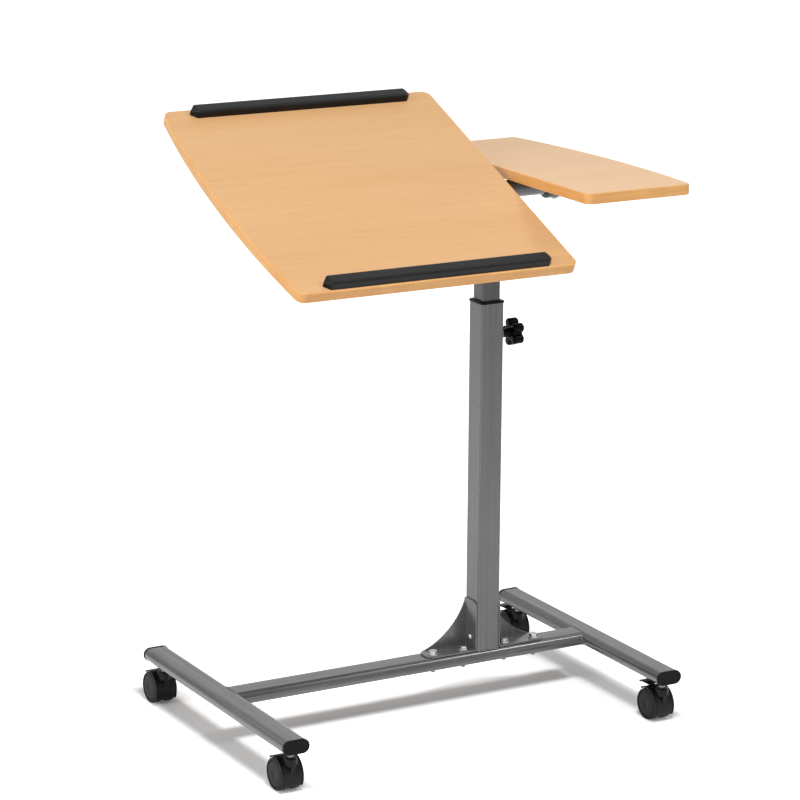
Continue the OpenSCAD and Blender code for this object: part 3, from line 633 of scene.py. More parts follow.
gusset_low, gusset_high = box("gusset_right")
reach, _, rise = gusset_high - gusset_low
front = gusset_low.y - post_centre.y
back = gusset_high.y - post_centre.y
web_end = reach - WEB_SHORT
web_rise = rise - SHEET - WEB_DROP
chord = hypot(web_end, web_rise)
sink = other_leg(GUSSET_ARC, chord / 2)
arc_x, arc_y = web_end / 2 + sink * web_rise / chord, web_rise / 2 + sink * web_end / chord
arc_start = atan2(-arc_y, web_end - arc_x)
arc_end = atan2(web_rise - arc_y, -arc_x)
if arc_end > arc_start:
    arc_end -= 2 * pi
web_loop = np.vstack(([[0, 0]], arc((arc_x, arc_y), GUSSET_ARC, arc_start, arc_end, 40)))
base_loop = filleted([
    (0, front), (reach - GUSSET_CORNER, front), (reach, front + GUSSET_CORNER),
    (reach, back - GUSSET_CORNER), (reach - GUSSET_CORNER, back), (0, back),
], [0.3, 3, 3, 3, 3, 0.3])
upright_loop = filleted([
    (front, 0), (back, 0), (back, rise), (front + GUSSET_CORNER, rise), (front, rise - GUSSET_CORNER / 2),
], [0.3, 0.3, 3, 5, 4])

# The upright flange is drawn in Y and Z and the web in X and Z.
drawn_yz = Matrix(((0, 0, 1, 0), (1, 0, 0, 0), (0, 1, 0, 0), (0, 0, 0, 1)))
drawn_xz = Matrix(((1, 0, 0, 0), (0, 0, -1, 0), (0, 1, 0, 0), (0, 0, 0, 1)))
flange_base, flange_upright, web = [
    plate([loop], 0, SHEET, SHEET_EDGE) for loop in (base_loop, upright_loop, web_loop)
]
web_root = SHEET - WEB_SINK
web_spot = shifted(web_root, back, web_root)
bracket = [flange_base, moved(flange_upright, drawn_yz), moved(web, web_spot @ drawn_xz)]
for side, way in (("left", -1), ("right", 1)):
    to_post = shifted(post_centre.x, post_centre.y, gusset_low.z) @ Matrix.Scale(way, 4, (1, 0, 0))
    to_post = to_post @ shifted(post_size.x / 2, 0, 0)
    piece("gusset_plate_" + side, bracket, to_post, paint_z, "base", "gusset_" + side)

# Fasteners of the base: zinc-plated hexagon bolts with washers through the gussets and the
# cross bar, whose threaded tips show below it, and one pan-head screw in each upright flange.
BOLT_XS = (-74, -30, 30, 74)
BOLT_RADIUS = 3
BOLT_PITCH = 1.0
HEX_FLATS = 10.0
HEAD_TURN = radians(1.7)
WASHER = 1.2
TIP_START = 1.5
HANGING = Matrix.Rotation(pi, 4, "X")


def zinc(name, dark, light):
    """Zinc on steel: a slightly warm and cool mottle, fine turning marks and dull patches."""
    metal = Finish(name, "zinc_steel", Metallic=1.0)
    mottle = metal.noise(240.0, 4.0, 0.6)
    marks = metal.noise(1.0, 2.0, spot=metal.place((300, 300, 2600)))
    tone = metal.step(mottle, 0.35, 0.7)
    return metal.feed(
        Base_Color=metal.colour(tone, (dark, dark, 0.98 * dark), (light, light, 1.02 * light)),
        Roughness=0.24 + 0.22 * mottle,
        Normal=metal.bump(0.5 * marks + 0.5 * mottle, 0.04, 0.5),
    )


def spun(radii, heights, joined=False):
    """Rings round the Z axis, each from its radii at even turns and its height."""
    turns = round_turns(radii.shape[1])
    rise = np.repeat(heights[:, None], len(turns), axis=1)
    return shell(np.stack((radii * np.cos(turns), radii * np.sin(turns), rise), axis=-1), joined)


def lathe(profile, count=40, joined=False):
    """A profile of (radius, height) points carried round the Z axis."""
    profile = np.array(profile, float)
    return spun(np.repeat(profile[:, :1], count, axis=1), profile[:, 1], joined)


def hex_block(flats, height, count=72):
    """A hexagon prism from Z = 0 whose top corners are cut by a cone: each radius is the lesser of the
    hexagon's, half the flats over the cosine from the nearest flat, and the cone's at that height."""
    turns = round_turns(count)
    from_flat = (turns + pi / 6) % (pi / 3) - pi / 6
    heights = height * np.array([0, 0.86, 0.90, 0.94, 0.97, 1])
    cone = 0.94 * flats / 2 + (height - heights) * 1.7
    return spun(np.minimum(flats / 2 / np.cos(from_flat)[None, :], cone[:, None]), heights)


def threaded(radius, length, pitch, count=24):
    """A thread from Z = 0: the radius less a triangle wave of the height in pitches less the turn, faded
    out to a small cone at the end."""
    heights = np.linspace(0, length, int(length / pitch * 8) + 1)
    turns = np.arange(count) / count
    phase = (heights[:, None] / pitch - turns[None, :]) % 1
    tip = np.clip((length - heights) / pitch, 0, 1)[:, None]
    return spun(radius - 0.45 * pitch * np.abs(2 * phase - 1) - 0.5 * pitch * (1 - tip), heights)


def pan_head(radius, height):
    """A low dome with a rolled edge and a small hexagon-key hollow in the middle."""
    profile = [(0, 0), (1, 0), (1, 0.35), (0.93, 0.66), (0.74, 0.9), (0.5, 1), (0.42, 1), (0.4, 0.45),
               (0, 0.4)]
    return lathe(np.array(profile) * [radius, height], 32)


zinc_finish = zinc("bright zinc", 0.34, 0.56)
bolt_low, bolt_high = box("gusset_bolts")
bar_low = bar_centre.z - bar_size.z / 2
flange_top = gusset_low.z + SHEET
washer_radius = (bolt_high.x - bolt_low.x) / 2 - BOLT_XS[-1]
washer = lathe([(BOLT_RADIUS, 0), (washer_radius, 0), (washer_radius, WASHER - 0.3),
                (washer_radius - 0.3, WASHER), (BOLT_RADIUS, WASHER)], 40, True)
head = hex_block(HEX_FLATS, bolt_high.z - flange_top - WASHER)
tip = threaded(BOLT_RADIUS, bar_low - bolt_low.z + TIP_START, BOLT_PITCH)
bolt_parts = []
for x in BOLT_XS:
    spot = shifted(x, 0, flange_top)
    turn = Matrix.Rotation(x * HEAD_TURN, 4, "Z")
    bolt_parts.append(moved(washer, spot))
    bolt_parts.append(moved(head, spot @ shifted(0, 0, WASHER) @ turn))
    bolt_parts.append(moved(tip, shifted(x, 0, bar_low + TIP_START) @ HANGING))
to_bolts = shifted(post_centre.x, (bolt_low.y + bolt_high.y) / 2, 0)
piece("base_bolts", bolt_parts, to_bolts, zinc_finish, "base", "gusset_bolts")

screw_centre, screw_size = middle("post_screws")
screw_face = post_size.x / 2 + SHEET
screw = pan_head(screw_size.z / 2, screw_size.x / 2 - screw_face)
screws = [moved(screw, shifted(way * screw_face, 0, 0) @ facing("x", way)) for way in (-1, 1)]
piece("flange_screws", screws, shifted(*screw_centre), zinc_finish, "base", "post_screws")

# Height lock: a five-lobed black knob on a steel stud, screwed through a round nut that is
# welded on the right side of the post. Its end presses on the inner tube.
KNOB_NECK = 9.0
KNOB_CORE = 12.0
LOBE = 6.0
LOBES = 5
LOBE_BLEND = 1.6
KNOB_EDGE = 2.6


def star_loop(count=150):
    """The knob's outline: at each angle the soft maximum of the core's radius and the reach of the nearest
    lobe's circle, which is the core times the cosine plus the root of the lobe squared less the core times
    the sine squared."""
    turns = round_turns(count)
    pitch = 2 * pi / LOBES
    off = (turns - pi / 2 + pitch / 2) % pitch - pitch / 2
    reach = KNOB_CORE * np.cos(off) + other_leg(LOBE, KNOB_CORE * np.sin(off))
    radius = np.log(np.exp(LOBE_BLEND * reach) + np.exp(LOBE_BLEND * 0.93 * KNOB_CORE)) / LOBE_BLEND
    radius = np.minimum(radius, KNOB_CORE + LOBE)
    return np.column_stack((radius * np.cos(turns), radius * np.sin(turns)))


def star_knob(thick):
    """The lobed grip above its neck, with a raised ring and a dished button in its face."""
    neck = KNOB_NECK
    top = neck + thick
    grip = plate([star_loop()], neck, top - 0.6, KNOB_EDGE, 6)
    collar = lathe([(0, 0), (5.0, 0), (5.5, 0.5), (5.5, neck - 1.6), (6.2, neck - 0.5), (7.6, neck + 0.5),
                    (0, neck + 0.5)])
    button = lathe([(0, top - 2), (7.2, top - 2), (7.2, top - 0.5), (6.6, top), (5.8, top), (5.0, top - 0.7),
                    (0, top - 0.3)])
    return [grip, collar, button]


knob_plastic = black_plastic("knob plastic", "black_plastic", 0.0010, 0.0025, 0.22, 1200.0, 0.06)
knob_low, knob_high = box("height_knob")
to_knob = shifted(knob_low.x, post_centre.y, (knob_low.z + knob_high.z) / 2) @ facing("x")
piece("height_star_knob", star_knob(knob_high.x - knob_low.x - KNOB_NECK), to_knob, knob_plastic,
      "height_knob", "height_knob")

nut_low, nut_high = box("height_nut")
nut_radius = (nut_high.z - nut_low.z) / 2
nut_length = nut_high.x - nut_low.x
nut_ring = lathe([(4.1, 0), (nut_radius, 0), (nut_radius, nut_length - 0.8), (nut_radius - 0.8, nut_length),
                  (4.6, nut_length), (4.1, nut_length - 0.5)], 48, True)
nut_out = at_height(arc((0, 0), 1, 0, 2 * pi, 161)[:-1], 0)
nut_bead = bead(nut_out * (nut_radius - 0.3) + [0, 0, 0.6], nut_out, ripples=22, radius=1.1)
to_nut = shifted(nut_low.x, post_centre.y, (nut_low.z + nut_high.z) / 2) @ facing("x")
piece("welded_nut", [nut_ring, nut_bead], to_nut, paint_z, "base", "height_nut")

# Pivot tube: a round steel tube welded across the top of the inner post. Black plugs close
# its ends, and both boards are carried on it.
PLUG_DEPTH = 10

tube_radius = pivot_size.z / 2
tube_bore = tube_radius - WALL
tube_start = pivot_centre.x - pivot_size.x / 2
circles = [arc((0, 0), radius, 0, 2 * pi, 65)[:-1] for radius in (tube_radius, tube_bore)]
to_tube = shifted(tube_start, pivot_centre.y, pivot_centre.z) @ facing("x")
piece("cross_pivot", [tube(*circles, pivot_size.x)], to_tube, shaded_coat_x, "lift", "pivot_tube")

plug_face = (middle("tube_plugs")[1].x - pivot_size.x) / 2
plug = lathe([(0, -PLUG_DEPTH), (tube_bore - 0.1, -PLUG_DEPTH), (tube_bore - 0.1, 0), (tube_radius - 0.2, 0),
              (tube_radius, 0.2), (tube_radius, plug_face - 0.9), (tube_radius - 0.9, plug_face),
              (tube_radius - 3, plug_face), (0, plug_face - 0.4)], 48)
plugs = [moved(plug, shifted(way * pivot_size.x / 2, 0, 0) @ facing("x", way)) for way in (-1, 1)]
piece("pivot_plugs", plugs, shifted(*pivot_centre), cap_plastic, "lift", "tube_plugs")

slider_loop = spread(slider_outer, 240)
slider_out = at_height(outward_of(slider_loop), 0)
slider_bead = bead(saddled(drawn_in(slider_loop, 0.2), 0)[1], slider_out, ripples=34)
piece("pivot_weld", [slider_bead], to_slider, paint_z, "lift")

# Boards: particle board with a printed beech foil on both faces and a plastic edge band.
# The left board tilts about the pivot tube and has a bowed outer edge; the right one is level.
TILT = radians(22.9)
MAIN_ENDS = (204.5, 194.5)
MAIN_RIGHT = 9
MAIN_ARC = 1380
MAIN_PEAK = 14
MAIN_CORNER = 11
SIDE_ARC = 1350
SIDE_PEAK = 56
SIDE_CORNER = 10
BAND = 1.5
BAND_ROUND = 1.2
SEAM = 0.12
PANEL_EDGE = 0.15

hinge = Vector((post_centre.x, pivot_centre.y, pivot_centre.z))
main_left = box("main_edge_band")[0].x - hinge.x
side_low, side_high = [corner - hinge for corner in box("side_edge_band")]
side_half = (side_high.y - side_low.y) / 2
board_low, board_top = side_low.z, side_high.z
level_frame = shifted(*hinge)
tilted_frame = level_frame @ Matrix.Rotation(TILT, 4, "X")


def bowed_outline(inset, way, flat, bow, radius, peak, ends, corner):
    """A board from above, counter-clockwise: one straight edge at flat, and opposite it an arc that reaches
    bow at the peak's depth. All four corners are quarter circles or arcs that touch both edges."""
    reach = radius - inset
    small = corner - inset
    centre_x = way * bow - radius
    left = way * flat + inset
    front_y = inset + small - ends[0]
    back_y = ends[1] - inset - small
    front_x, back_x = [centre_x + other_leg(reach - small, y + peak) for y in (front_y, back_y)]
    front_turn = atan2(front_y + peak, front_x - centre_x)
    back_turn = atan2(back_y + peak, back_x - centre_x)
    quarter = pi / 2
    loop = np.vstack((
        arc((centre_x, -peak), reach, front_turn, back_turn, 72)[1:-1],
        arc((back_x, back_y), small, back_turn, quarter, 9),
        arc((left + small, back_y), small, quarter, 2 * quarter, 9),
        arc((left + small, front_y), small, 2 * quarter, 3 * quarter, 9),
        arc((front_x, front_y), small, 3 * quarter, 4 * quarter + front_turn, 9),
    ))
    return (loop * [way, 1])[::way]


def beech(name, light, dark, tilt):
    """Printed beech: wide soft bands and fine fibres along X, short darker flecks and pores, and a satin
    skin."""
    foil = Finish(name, "board", Specular_IOR_Level=0.4)
    bands, fibres, flecks = [
        foil.noise(1.0, detail, rough, bend, foil.place(stretch, (tilt, 0, 0), hinge * MM))
        for stretch, detail, rough, bend in (
            ((1.1, 15.0, 3.0), 3.0, 0.5, 0.6),
            ((6.0, 330.0, 60.0), 5.0, 0.6, 0.2),
            ((34.0, 560.0, 100.0), 2.0, 0.5, 0.0),
        )
    ]
    pores = foil.step(flecks, 0.62, 0.74)
    base = foil.colour(foil.step(0.62 * bands + 0.38 * fibres, 0.34, 0.66), dark, light)
    return foil.feed(
        Base_Color=foil.colour(0.32 * pores, base, [0.72 * part for part in dark]),
        Roughness=0.36 + 0.12 * fibres,
        Normal=foil.bump(fibres + 0.5 * pores, 0.03, 0.35),
    )


def edging(name, light, dark, tilt):
    """Plastic edge band with a printed grain that runs with the board, a little glossier than its faces."""
    band = Finish(name, "edge_band", Specular_IOR_Level=0.5)
    fibres = band.noise(1.0, 4.0, 0.6, 0.3, band.place((9.0, 30.0, 700.0), (tilt, 0, 0), hinge * MM))
    cloud = band.noise(22.0, 3.0)
    return band.feed(
        Base_Color=band.colour(band.step(0.6 * fibres + 0.4 * cloud, 0.36, 0.66), dark, light),
        Roughness=0.30 + 0.14 * cloud,
        Normal=band.bump(fibres, 0.03, 0.3),
    )


main_edges = (-1, MAIN_RIGHT, main_left, MAIN_ARC, MAIN_PEAK, MAIN_ENDS, MAIN_CORNER)
side_edges = (1, side_low.x, side_high.x, SIDE_ARC, SIDE_PEAK, (side_half, side_half), SIDE_CORNER)

# Each board has its edges, its place and body, its tilt, the two colours of its foil, and the two colours of
# its edge band. The main board's edge band is lighter than the side board's as painted light: it makes up
# for the light that its tilted front edge misses.
for name, edges, lay, body, tilt, light, dark, edge_light, edge_dark in (
    ("main", main_edges, tilted_frame, "tilt", TILT, (0.700, 0.415, 0.198), (0.630, 0.352, 0.150),
     (0.860, 0.470, 0.165), (0.740, 0.345, 0.095)),
    ("side", side_edges, level_frame, "lift", 0, (0.770, 0.490, 0.262), (0.710, 0.435, 0.215),
     (0.800, 0.445, 0.158), (0.680, 0.320, 0.090)),
):
    rim, core, field = [bowed_outline(inset, *edges) for inset in (0, BAND - SEAM / 2, BAND + SEAM / 2)]
    foil = beech("beech foil " + name, light, dark, tilt)
    panel = plate([field], board_low, board_top, PANEL_EDGE)
    piece(name + "_panel", [panel], lay, foil, body, name + "_board")
    band = edging("edge band " + name, edge_light, edge_dark, tilt)
    steps = [(rim, inset, height) for inset, height in rounding(BAND_ROUND, board_low, board_top, 6)]
    steps += [(core, -0.1, board_top), (core, 0, board_top - SEAM), (core, 0, board_low + SEAM),
              (core, -0.1, board_low)]
    piece(name + "_edging", [stacked(steps, True)], lay, band, body, name + "_edge_band")

# Ledges: two black plastic bars screwed on the tilting board near its front and back edges,
# with a rounded top and pointed ends. They stop things from sliding off.
LEDGE_LENGTH = 304
LEDGE_WIDTH = 18
LEDGE_HEIGHT = 10
LEDGE_YS = (-193, 183)
LEDGE_MIDDLE = -177


def ledge_bar():
    """A rounded profile carried along X. Towards each end its width shrinks evenly almost to nothing, and
    its height to about half, so that the bar ends in a blunt point."""
    half = LEDGE_WIDTH / 2
    profile = filleted([(-half, 0), (half, 0), (half, LEDGE_HEIGHT), (-half, LEDGE_HEIGHT)],
                       [0.3, 0.3, 4, 4], 8)
    inward = np.array([0, 0.25, 0.8, 2.0, 3.5, 5.0, 6.0, 6.8, 8.0])
    tall = np.array([0.50, 0.56, 0.62, 0.72, 0.83, 0.93, 0.98, 1.0, 1.0])
    wide = np.array([0.08, 0.15, 0.23, 0.37, 0.57, 0.77, 0.90, 0.98, 1.0])
    along = np.concatenate((inward - LEDGE_LENGTH / 2, (LEDGE_LENGTH / 2 - inward)[::-1]))
    tall, wide = [np.concatenate((share, share[::-1]))[:, None] for share in (tall, wide)]
    along = np.repeat(along[:, None], len(profile), axis=1)
    return shell(np.stack((along, wide * profile[:, 0], tall * profile[:, 1]), axis=-1))


ledge_plastic = black_plastic("ledge plastic", "black_plastic", 0.003, 0.007, 0.36, 1400.0, 0.2)
for name, y in zip(("front", "back"), LEDGE_YS):
    lay = tilted_frame @ shifted(LEDGE_MIDDLE, y, board_top)
    piece(name + "_stop_bar", [ledge_bar()], lay, ledge_plastic, "tilt", name + "_ledge")

# Saddles and clamps: cast brackets under the boards. Two saddles hold the level board fast on
# the pivot tube, and two split rings with ears let the tilting board turn until its bolt is tight.
BRACKET_WIDTH = 30
BRACKET_LENGTH = 74
FLANGE = 4
RING = 16
RING_PLAY = 0.08
EAR_FACE = 8.5
EAR_GAP = 3
EAR_LOW = 34
EAR_BOLT = -24
CLAMP_XS = (-65.5, -295.5)
SADDLE_XS = (96, 140)
SADDLE_EDGE = 0.8
CLAMP_EDGE = 0.6
ROOT_TURN = radians(9)
EAR_TURN = radians(6)


def bracket_paint(name):
    """Thick dark paint over a cast surface: a coarse skin, small pits and a dull sheen."""
    coat = Finish(name, "bracket_paint", Metallic=0.25)
    cast = coat.noise(420.0, 4.0, 0.6)
    cloud = coat.noise(40.0, 3.0)
    tone = coat.step(0.5 * cast + 0.5 * cloud, 0.35, 0.65)
    return coat.feed(
        Base_Color=coat.colour(tone, (0.040, 0.041, 0.043), (0.075, 0.076, 0.080)),
        Roughness=0.40 + 0.2 * cloud,
        Normal=coat.bump(cast, 0.12, 0.6),
    )


def bracket_block(loops, edge):
    """A bracket's outlines in Y and Z, made as thick as it is wide."""
    return moved(plate(loops, -BRACKET_WIDTH / 2, BRACKET_WIDTH / 2, edge), drawn_yz)


bracket_finish = bracket_paint("bracket paint")
half_flange = BRACKET_LENGTH / 2
flange_low = board_low - FLANGE
ring_side = other_leg(RING, flange_low)
ring_start = atan2(flange_low, ring_side) - ROOT_TURN
ring_bore = tube_radius + RING_PLAY
flange_part = filleted([
    (ring_side, flange_low), (half_flange, flange_low), (half_flange, board_low),
    (-half_flange, board_low), (-half_flange, flange_low), (-ring_side, flange_low),
], [2.4, 1.2, 1.2, 1.2, 1.2, 2.4])
saddle_ring = arc((0, 0), RING, pi - ring_start, 2 * pi + ring_start, 40)
saddle = bracket_block([
    np.vstack((flange_part, saddle_ring)), arc((0, 0), ring_bore, 2 * pi, 0, 49)[:-1],
], SADDLE_EDGE)
for name, x in zip(("inner", "outer"), SADDLE_XS):
    piece("side_saddle_" + name, [saddle], level_frame @ shifted(x, 0, 0), bracket_finish, "lift",
          "saddle_" + name)

# A clamp's outline is one line: round the outside, down and up both ears, and through the
# slit round the bore.
ear_join = -other_leg(RING, EAR_FACE)
left_side = arc((0, 0), RING, pi - ring_start, atan2(ear_join, -EAR_FACE) + 2 * pi - EAR_TURN, 14)
left_ear = filleted([(-EAR_FACE, ear_join - 2), (-EAR_FACE, -EAR_LOW), (-EAR_GAP / 2, -EAR_LOW)],
                    [1.5, 2.0, 0.5])[5:15]
slit = EAR_GAP / 2 / tube_radius
bore_line = arc((0, 0), ring_bore, 1.5 * pi - slit, slit - 0.5 * pi, 60)
right_ear, right_side = [line[::-1] * [-1, 1] for line in (left_ear, left_side)]
clamp_line = np.vstack((flange_part, left_side, left_ear, bore_line, right_ear, right_side))
clamp = bracket_block([clamp_line], CLAMP_EDGE)
for name, x in zip(("right", "left"), CLAMP_XS):
    piece("board_clamp_" + name, [clamp], tilted_frame @ shifted(x, 0, 0), bracket_finish, "tilt",
          "clamp_" + name)

# Clamp hardware: a hexagon bolt and nut through the right clamp's ears, and a star knob with
# its stud and nut at the left one, which the user slackens to set the tilt.
NUT_FLATS = 13.2
NUT_HEIGHT = 5
STUD = 4
STUD_PITCH = 1.25
STUD_PAST = 3
STUD_IN_KNOB = 12
KNOB_GAP = 0.3
TILT_GRIP = 15

hexagon = hex_block(NUT_FLATS, NUT_HEIGHT)
bolt_ear, knob_ear = [tilted_frame @ shifted(x, 0, EAR_BOLT) for x in CLAMP_XS]
knob_face = -EAR_FACE - KNOB_GAP
stud_end = EAR_FACE + NUT_HEIGHT + STUD_PAST
for name, ear, start, body in (
    ("clamp_bolt", bolt_ear, -EAR_FACE, "tilt"),
    ("tilt_stud", knob_ear, knob_face - KNOB_NECK - STUD_IN_KNOB, "tilt_knob"),
):
    rod = [moved(threaded(STUD, stud_end - start, STUD_PITCH), shifted(0, start, 0) @ facing("y"))]
    if body == "tilt":
        rod.append(moved(hexagon, shifted(0, -EAR_FACE, 0) @ facing("y", -1)))
    piece(name + "_rod", rod, ear, zinc_finish, body, name)
for name, ear in (("clamp_nut", bolt_ear), ("tilt_nut", knob_ear)):
    piece(name + "_block", [hexagon], ear @ shifted(0, EAR_FACE, 0) @ facing("y"), zinc_finish, "tilt", name)
piece("tilt_star_knob", star_knob(TILT_GRIP), knob_ear @ shifted(0, knob_face, 0) @ facing("y", -1),
      knob_plastic, "tilt_knob", "tilt_knob")

# Wood screws: four under each bracket's flange, two under each ledge and one below each
# saddle, all with low pan heads that face down.
SCREW_RADIUS = 4
SCREW_HIGH = 2.4
FLANGE_DX = 9
FLANGE_DY = 30


def flange_spots(xs):
    return [(x + dx, dy) for x in xs for dx in (-FLANGE_DX, FLANGE_DX) for dy in (-FLANGE_DY, FLANGE_DY)]


wood_screw = pan_head(SCREW_RADIUS, SCREW_HIGH)
ledge_spots = [(LEDGE_MIDDLE + dx * LEDGE_LENGTH / 3, y) for dx in (-1, 1) for y in LEDGE_YS]
for name, lay, spots, height, body in (
    ("side_board_screws", level_frame, flange_spots(SADDLE_XS), flange_low, "lift"),
    ("clamp_screws", tilted_frame, flange_spots(CLAMP_XS), flange_low, "tilt"),
    ("ledge_screws", tilted_frame, ledge_spots, board_low, "tilt"),
    ("saddle_screws", level_frame, [(x, 0) for x in SADDLE_XS], -RING, "lift"),
):
    heads = [moved(wood_screw, shifted(x, y, height) @ HANGING) for x, y in spots]
    piece(name + "_heads", heads, lay, zinc_finish, body, name)

# Casters: four black nylon twin-wheel casters. Each housing has a thin web between the
# wheels, a curved mudguard over them and a boss round the steel stem; the right two have a brake pedal.
WHEEL_R = 20
WHEEL_IN = 3.8
WHEEL_W = 10.5
RIM_IN = 16.6
SHOULDER = 2.0
TRAIL = 15
GUARD_IN = 20.8
GUARD_BACK = radians(52)
GUARD_FRONT = radians(212)
WEB = 6
WEB_OUT = 21.8
WEB_DISC = 18.8
WEB_EDGE = 0.6
HOOD_TOP = 44.4
BOSS = 8.5
PIN_LOW = 36.4
STEM = 4
STEM_FLANGE = 7.5
FLANGE_LOW = 51
FLANGE_HIGH = 53
PEDAL_Y = 23
PEDAL_Z = 44.74
PEDAL_EYE = 2.8
PEDAL_LENGTH = 11.5
PEDAL_HALF = 12
PEDAL_PIN = 1.5
EYE_EDGE = 0.5
SLOT = 3.3
LUG = 3
LUG_EDGE = 0.4


def guard_strip():
    """The mudguard: a flat section with a raised rim and a groove at each edge, carried round the axle from
    above the back over the top to low at the front, thinned at both ends and narrowed evenly to the back."""
    half = np.array([(14.5, 0.5), (14.5, 1.6), (14.1, 2.0), (12.9, 2.0), (12.5, 1.75), (12.35, 1.2),
                     (12.0, 1.2), (11.8, 1.6), (11.3, 1.75), (6.0, 1.9)])
    across, out = np.vstack((half, [(0, 1.95)], half[::-1] * [-1, 1], [(-14.1, 0), (14.1, 0)])).T
    inward = np.radians([0, 0.6, 1.8, 4.0])
    turns = np.concatenate((GUARD_BACK + inward, np.linspace(GUARD_BACK + 0.12, GUARD_FRONT - 0.12, 44),
                            (GUARD_FRONT - inward)[::-1]))[:, None]
    ends = np.array([0.35, 0.75, 0.95, 1.0])
    thin = np.concatenate((ends, np.ones(44), ends[::-1]))[:, None]
    radius = GUARD_IN + 1 + thin * (out - 1)
    narrow = np.clip((radians(70) - turns) / radians(18), 0, 1)
    across = across * (1 - 0.04 * (1 - thin) - 0.12 * narrow ** 2)
    ys = TRAIL + radius * np.cos(turns)
    zs = WHEEL_R + radius * np.sin(turns)
    return shell(np.stack((across, ys, zs), axis=-1))


def swivel_boss():
    """The turned boss round the stem. Its lower rings rise to the guard's middle wherever that is higher:
    the axle's height plus the root of the web's radius squared less the distance from the axle squared."""
    points, groups = lathe([
        (4.2, PIN_LOW - 2.6), (BOSS - 1.6, PIN_LOW - 2.8), (BOSS - 0.4, PIN_LOW - 2.0),
        (BOSS, PIN_LOW - 0.6), (BOSS, HOOD_TOP - 2.2), (BOSS - 0.5, HOOD_TOP - 0.9),
        (BOSS - 1.6, HOOD_TOP - 0.1), (BOSS - 2.6, HOOD_TOP), (4.6, HOOD_TOP), (4.2, HOOD_TOP - 0.4),
    ], 56, True)
    guard = WHEEL_R + other_leg(WEB_OUT, points[:, 1] - TRAIL)
    points[:, 2] = np.maximum(points[:, 2], guard)
    return points, groups


def housing(braked):
    """The web with its edges rounded, the mudguard and the swivel boss; a braked one has an eye for the
    pedal."""
    axle = (TRAIL, WHEEL_R)
    joint = HOOD_TOP - 4
    neck = filleted([
        (TRAIL + 4, WHEEL_R + WEB_OUT), (BOSS, joint), (-BOSS, joint), (-BOSS, PIN_LOW - 2),
        (TRAIL - GUARD_IN, WHEEL_R + 4),
    ], [2] * 5, 4)[4:-4]
    outlines = [(np.vstack((
        arc(axle, WEB_OUT, GUARD_BACK + 0.02, radians(79), 8), neck,
        arc(axle, WEB_OUT, radians(176), GUARD_FRONT - 0.02, 12),
        arc(axle, WEB_DISC, GUARD_FRONT + 0.05, GUARD_BACK + 2 * pi - 0.05, 48),
    )), WEB_EDGE)]
    if braked:
        eye_low = WHEEL_R + 14
        outlines.append((np.vstack((
            arc((PEDAL_Y, PEDAL_Z), PEDAL_EYE, 0, pi, 14),
            [(TRAIL + 2, eye_low), (PEDAL_Y + 1, eye_low)],
        )), EYE_EDGE))
    webs = [moved(plate([loop], -WEB / 2, WEB / 2, edge), drawn_yz) for loop, edge in outlines]
    return webs[:1] + [guard_strip(), swivel_boss()] + webs[1:]


def tyre():
    """A wheel's rim: a closed section with a slightly crowned tread and rounded shoulders."""
    turns = np.linspace(0, pi / 2, 6)
    low = [(WHEEL_R - SHOULDER * (1 - sin(t)), SHOULDER * (1 - cos(t))) for t in turns]
    high = [(radius, WHEEL_W - height) for radius, height in low[::-1]]
    rim = [(RIM_IN, 0.4)] + low + [(WHEEL_R, WHEEL_W / 2)] + high + [(RIM_IN, WHEEL_W - 0.3)]
    return lathe(rim, 80, True)


def hub():
    """A wheel's disc: a faintly domed outer face inside the rim's groove, with a small sunk middle."""
    face = [(RIM_IN, 1.4), (RIM_IN - 0.6, 1.4), (RIM_IN - 0.7, 0.8), (RIM_IN - 1.1, 0.45), (11, 0.25),
            (7, 0.2), (5.6, 0.25), (5.2, 0.55), (0, 0.6)]
    return lathe([(0, 0.5), (RIM_IN, 0.5)] + [(radius, WHEEL_W - deep) for radius, deep in face], 80)


def blade_ring(x, start, inset):
    """The pedal's blade at one place across it. The middle line's height and the half thickness are
    straight runs over the depth; the thickness goes to nothing at both ends as the root of one less the
    eighth power."""
    share = 0.5 - 0.5 * np.cos(pi * np.linspace(0, 1, 18))
    ys = start + inset + (PEDAL_LENGTH - start - 2 * inset) * share
    line = np.interp(ys, [-6, 4, 9, 11.5], [2.1, 2.0, 0.7, 0.5])
    half = np.interp(ys, [-6, 4, 11.5], [1.3, 1.4, 1.2])
    half = np.maximum(half * np.sqrt(1 - np.abs(2 * share - 1) ** 8) - inset, 0)
    loop = np.vstack((np.column_stack((ys, line - half)), np.column_stack((ys, line + half))[::-1]))
    return np.column_stack((np.full(len(loop), x), loop))


def pedal_lever():
    """The pedal: a blade with a slot for the housing's web, two lugs and the pin through the eye."""
    front = -6
    slot_end = PEDAL_EYE + 0.6
    right = [(SLOT, slot_end, 0), (SLOT, front, 0), (PEDAL_HALF - 0.8, front, 0),
             (PEDAL_HALF - 0.25, front, 0.25), (PEDAL_HALF, front, 0.8)]
    steps = [(-x, start, inset) for x, start, inset in right[::-1]] + right
    parts = [shell(np.stack([blade_ring(*step) for step in steps]))]
    lug = np.vstack((arc((0, 0), PEDAL_EYE, pi, 2 * pi, 14), [(PEDAL_EYE, 2), (-PEDAL_EYE, 2)]))
    for start in (-SLOT - LUG, SLOT):
        parts.append(moved(plate([lug], start, start + LUG, LUG_EDGE), drawn_yz))
    pin = lathe([(0, -6.3), (1.2, -6.3), (PEDAL_PIN, -6), (PEDAL_PIN, 6), (1.2, 6.3), (0, 6.3)], 24)
    return parts + [moved(pin, facing("x"))]


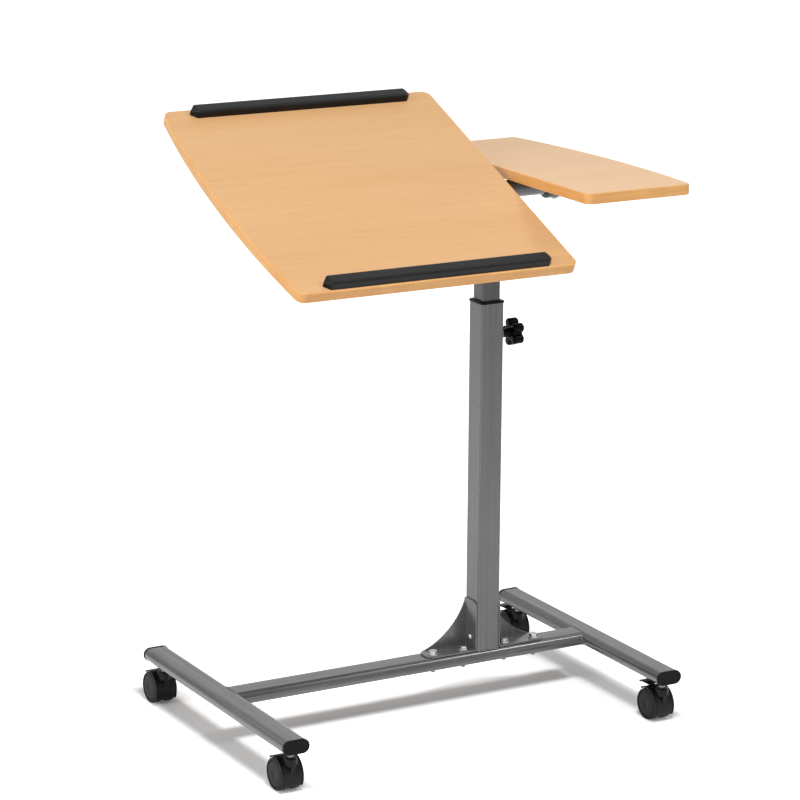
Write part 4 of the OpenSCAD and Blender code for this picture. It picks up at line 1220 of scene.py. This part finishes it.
housing_plastic = black_plastic("housing plastic", "caster_plastic", 0.005, 0.010, 0.36, 1500.0, 0.16)
tyre_plastic = black_plastic("tyre plastic", "wheel_plastic", 0.006, 0.011, 0.48, 900.0)
hub_plastic = black_plastic("hub plastic", "wheel_plastic", 0.006, 0.011, 0.44, 1500.0, 0.10)
# The stems are the same zinc-plated steel as the bolts, made darker here as painted shade and painted
# reflection: it stands for the shade under the foot tubes and the dark caps that they reflect.
stem_zinc_shaded = zinc("stem zinc with painted shade", 0.14, 0.24)
stem_high = box("caster_stems")[1].z
stem = lathe([
    (0, PIN_LOW + 0.3), (STEM, PIN_LOW + 0.3), (STEM, FLANGE_LOW - 0.1), (STEM_FLANGE - 0.4, FLANGE_LOW),
    (STEM_FLANGE, FLANGE_LOW + 0.3), (STEM_FLANGE, FLANGE_HIGH - 0.3), (STEM_FLANGE - 0.4, FLANGE_HIGH),
    (STEM, FLANGE_HIGH), (STEM, stem_high - 0.6), (STEM - 0.6, stem_high), (0, stem_high),
])
to_wheels = [
    Matrix.Scale(way, 4, (1, 0, 0)) @ shifted(WHEEL_IN, TRAIL, WHEEL_R) @ facing("x") for way in (-1, 1)
]
stems = []
for end in ("front", "back"):
    for side in ("left", "right"):
        corner = end + "_" + side
        axle = middle("axle_" + corner)[0]
        spot = shifted(axle.x, axle.y - TRAIL, 0)
        braked = side == "right"
        wheels = "wheels_" + corner
        pedal = "pedal_" + corner
        piece("housing_" + corner, housing(braked), spot, housing_plastic, "swivel_" + corner,
              "hood_" + corner)
        piece("tyres_" + corner, [moved(tyre(), lay) for lay in to_wheels], spot, tyre_plastic,
              wheels, wheels)
        piece("hubs_" + corner, [moved(hub(), lay) for lay in to_wheels], spot, hub_plastic, wheels)
        if braked:
            piece("brake_lever_" + corner, pedal_lever(), spot @ shifted(0, PEDAL_Y, PEDAL_Z),
                  housing_plastic, pedal, pedal)
        stems.append(moved(stem, spot))
piece("swivel_stems", stems, IN_PLACE, stem_zinc_shaded, "base", "caster_stems")

# Hidden hardware: the nuts in the tubes, the knob's stud, the axles and the slider's shoe keep
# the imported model's own shapes and take the same finishes.
hidden = {node: zinc_finish for node in (
    "bar_nuts", "stem_nuts", "height_stud", "axle_front_left", "axle_front_right", "axle_back_left",
    "axle_back_right",
)}
hidden["post_glide"] = cap_plastic
for node, finish in hidden.items():
    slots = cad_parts[node].data.materials
    slots.clear()
    slots.append(finish.material)
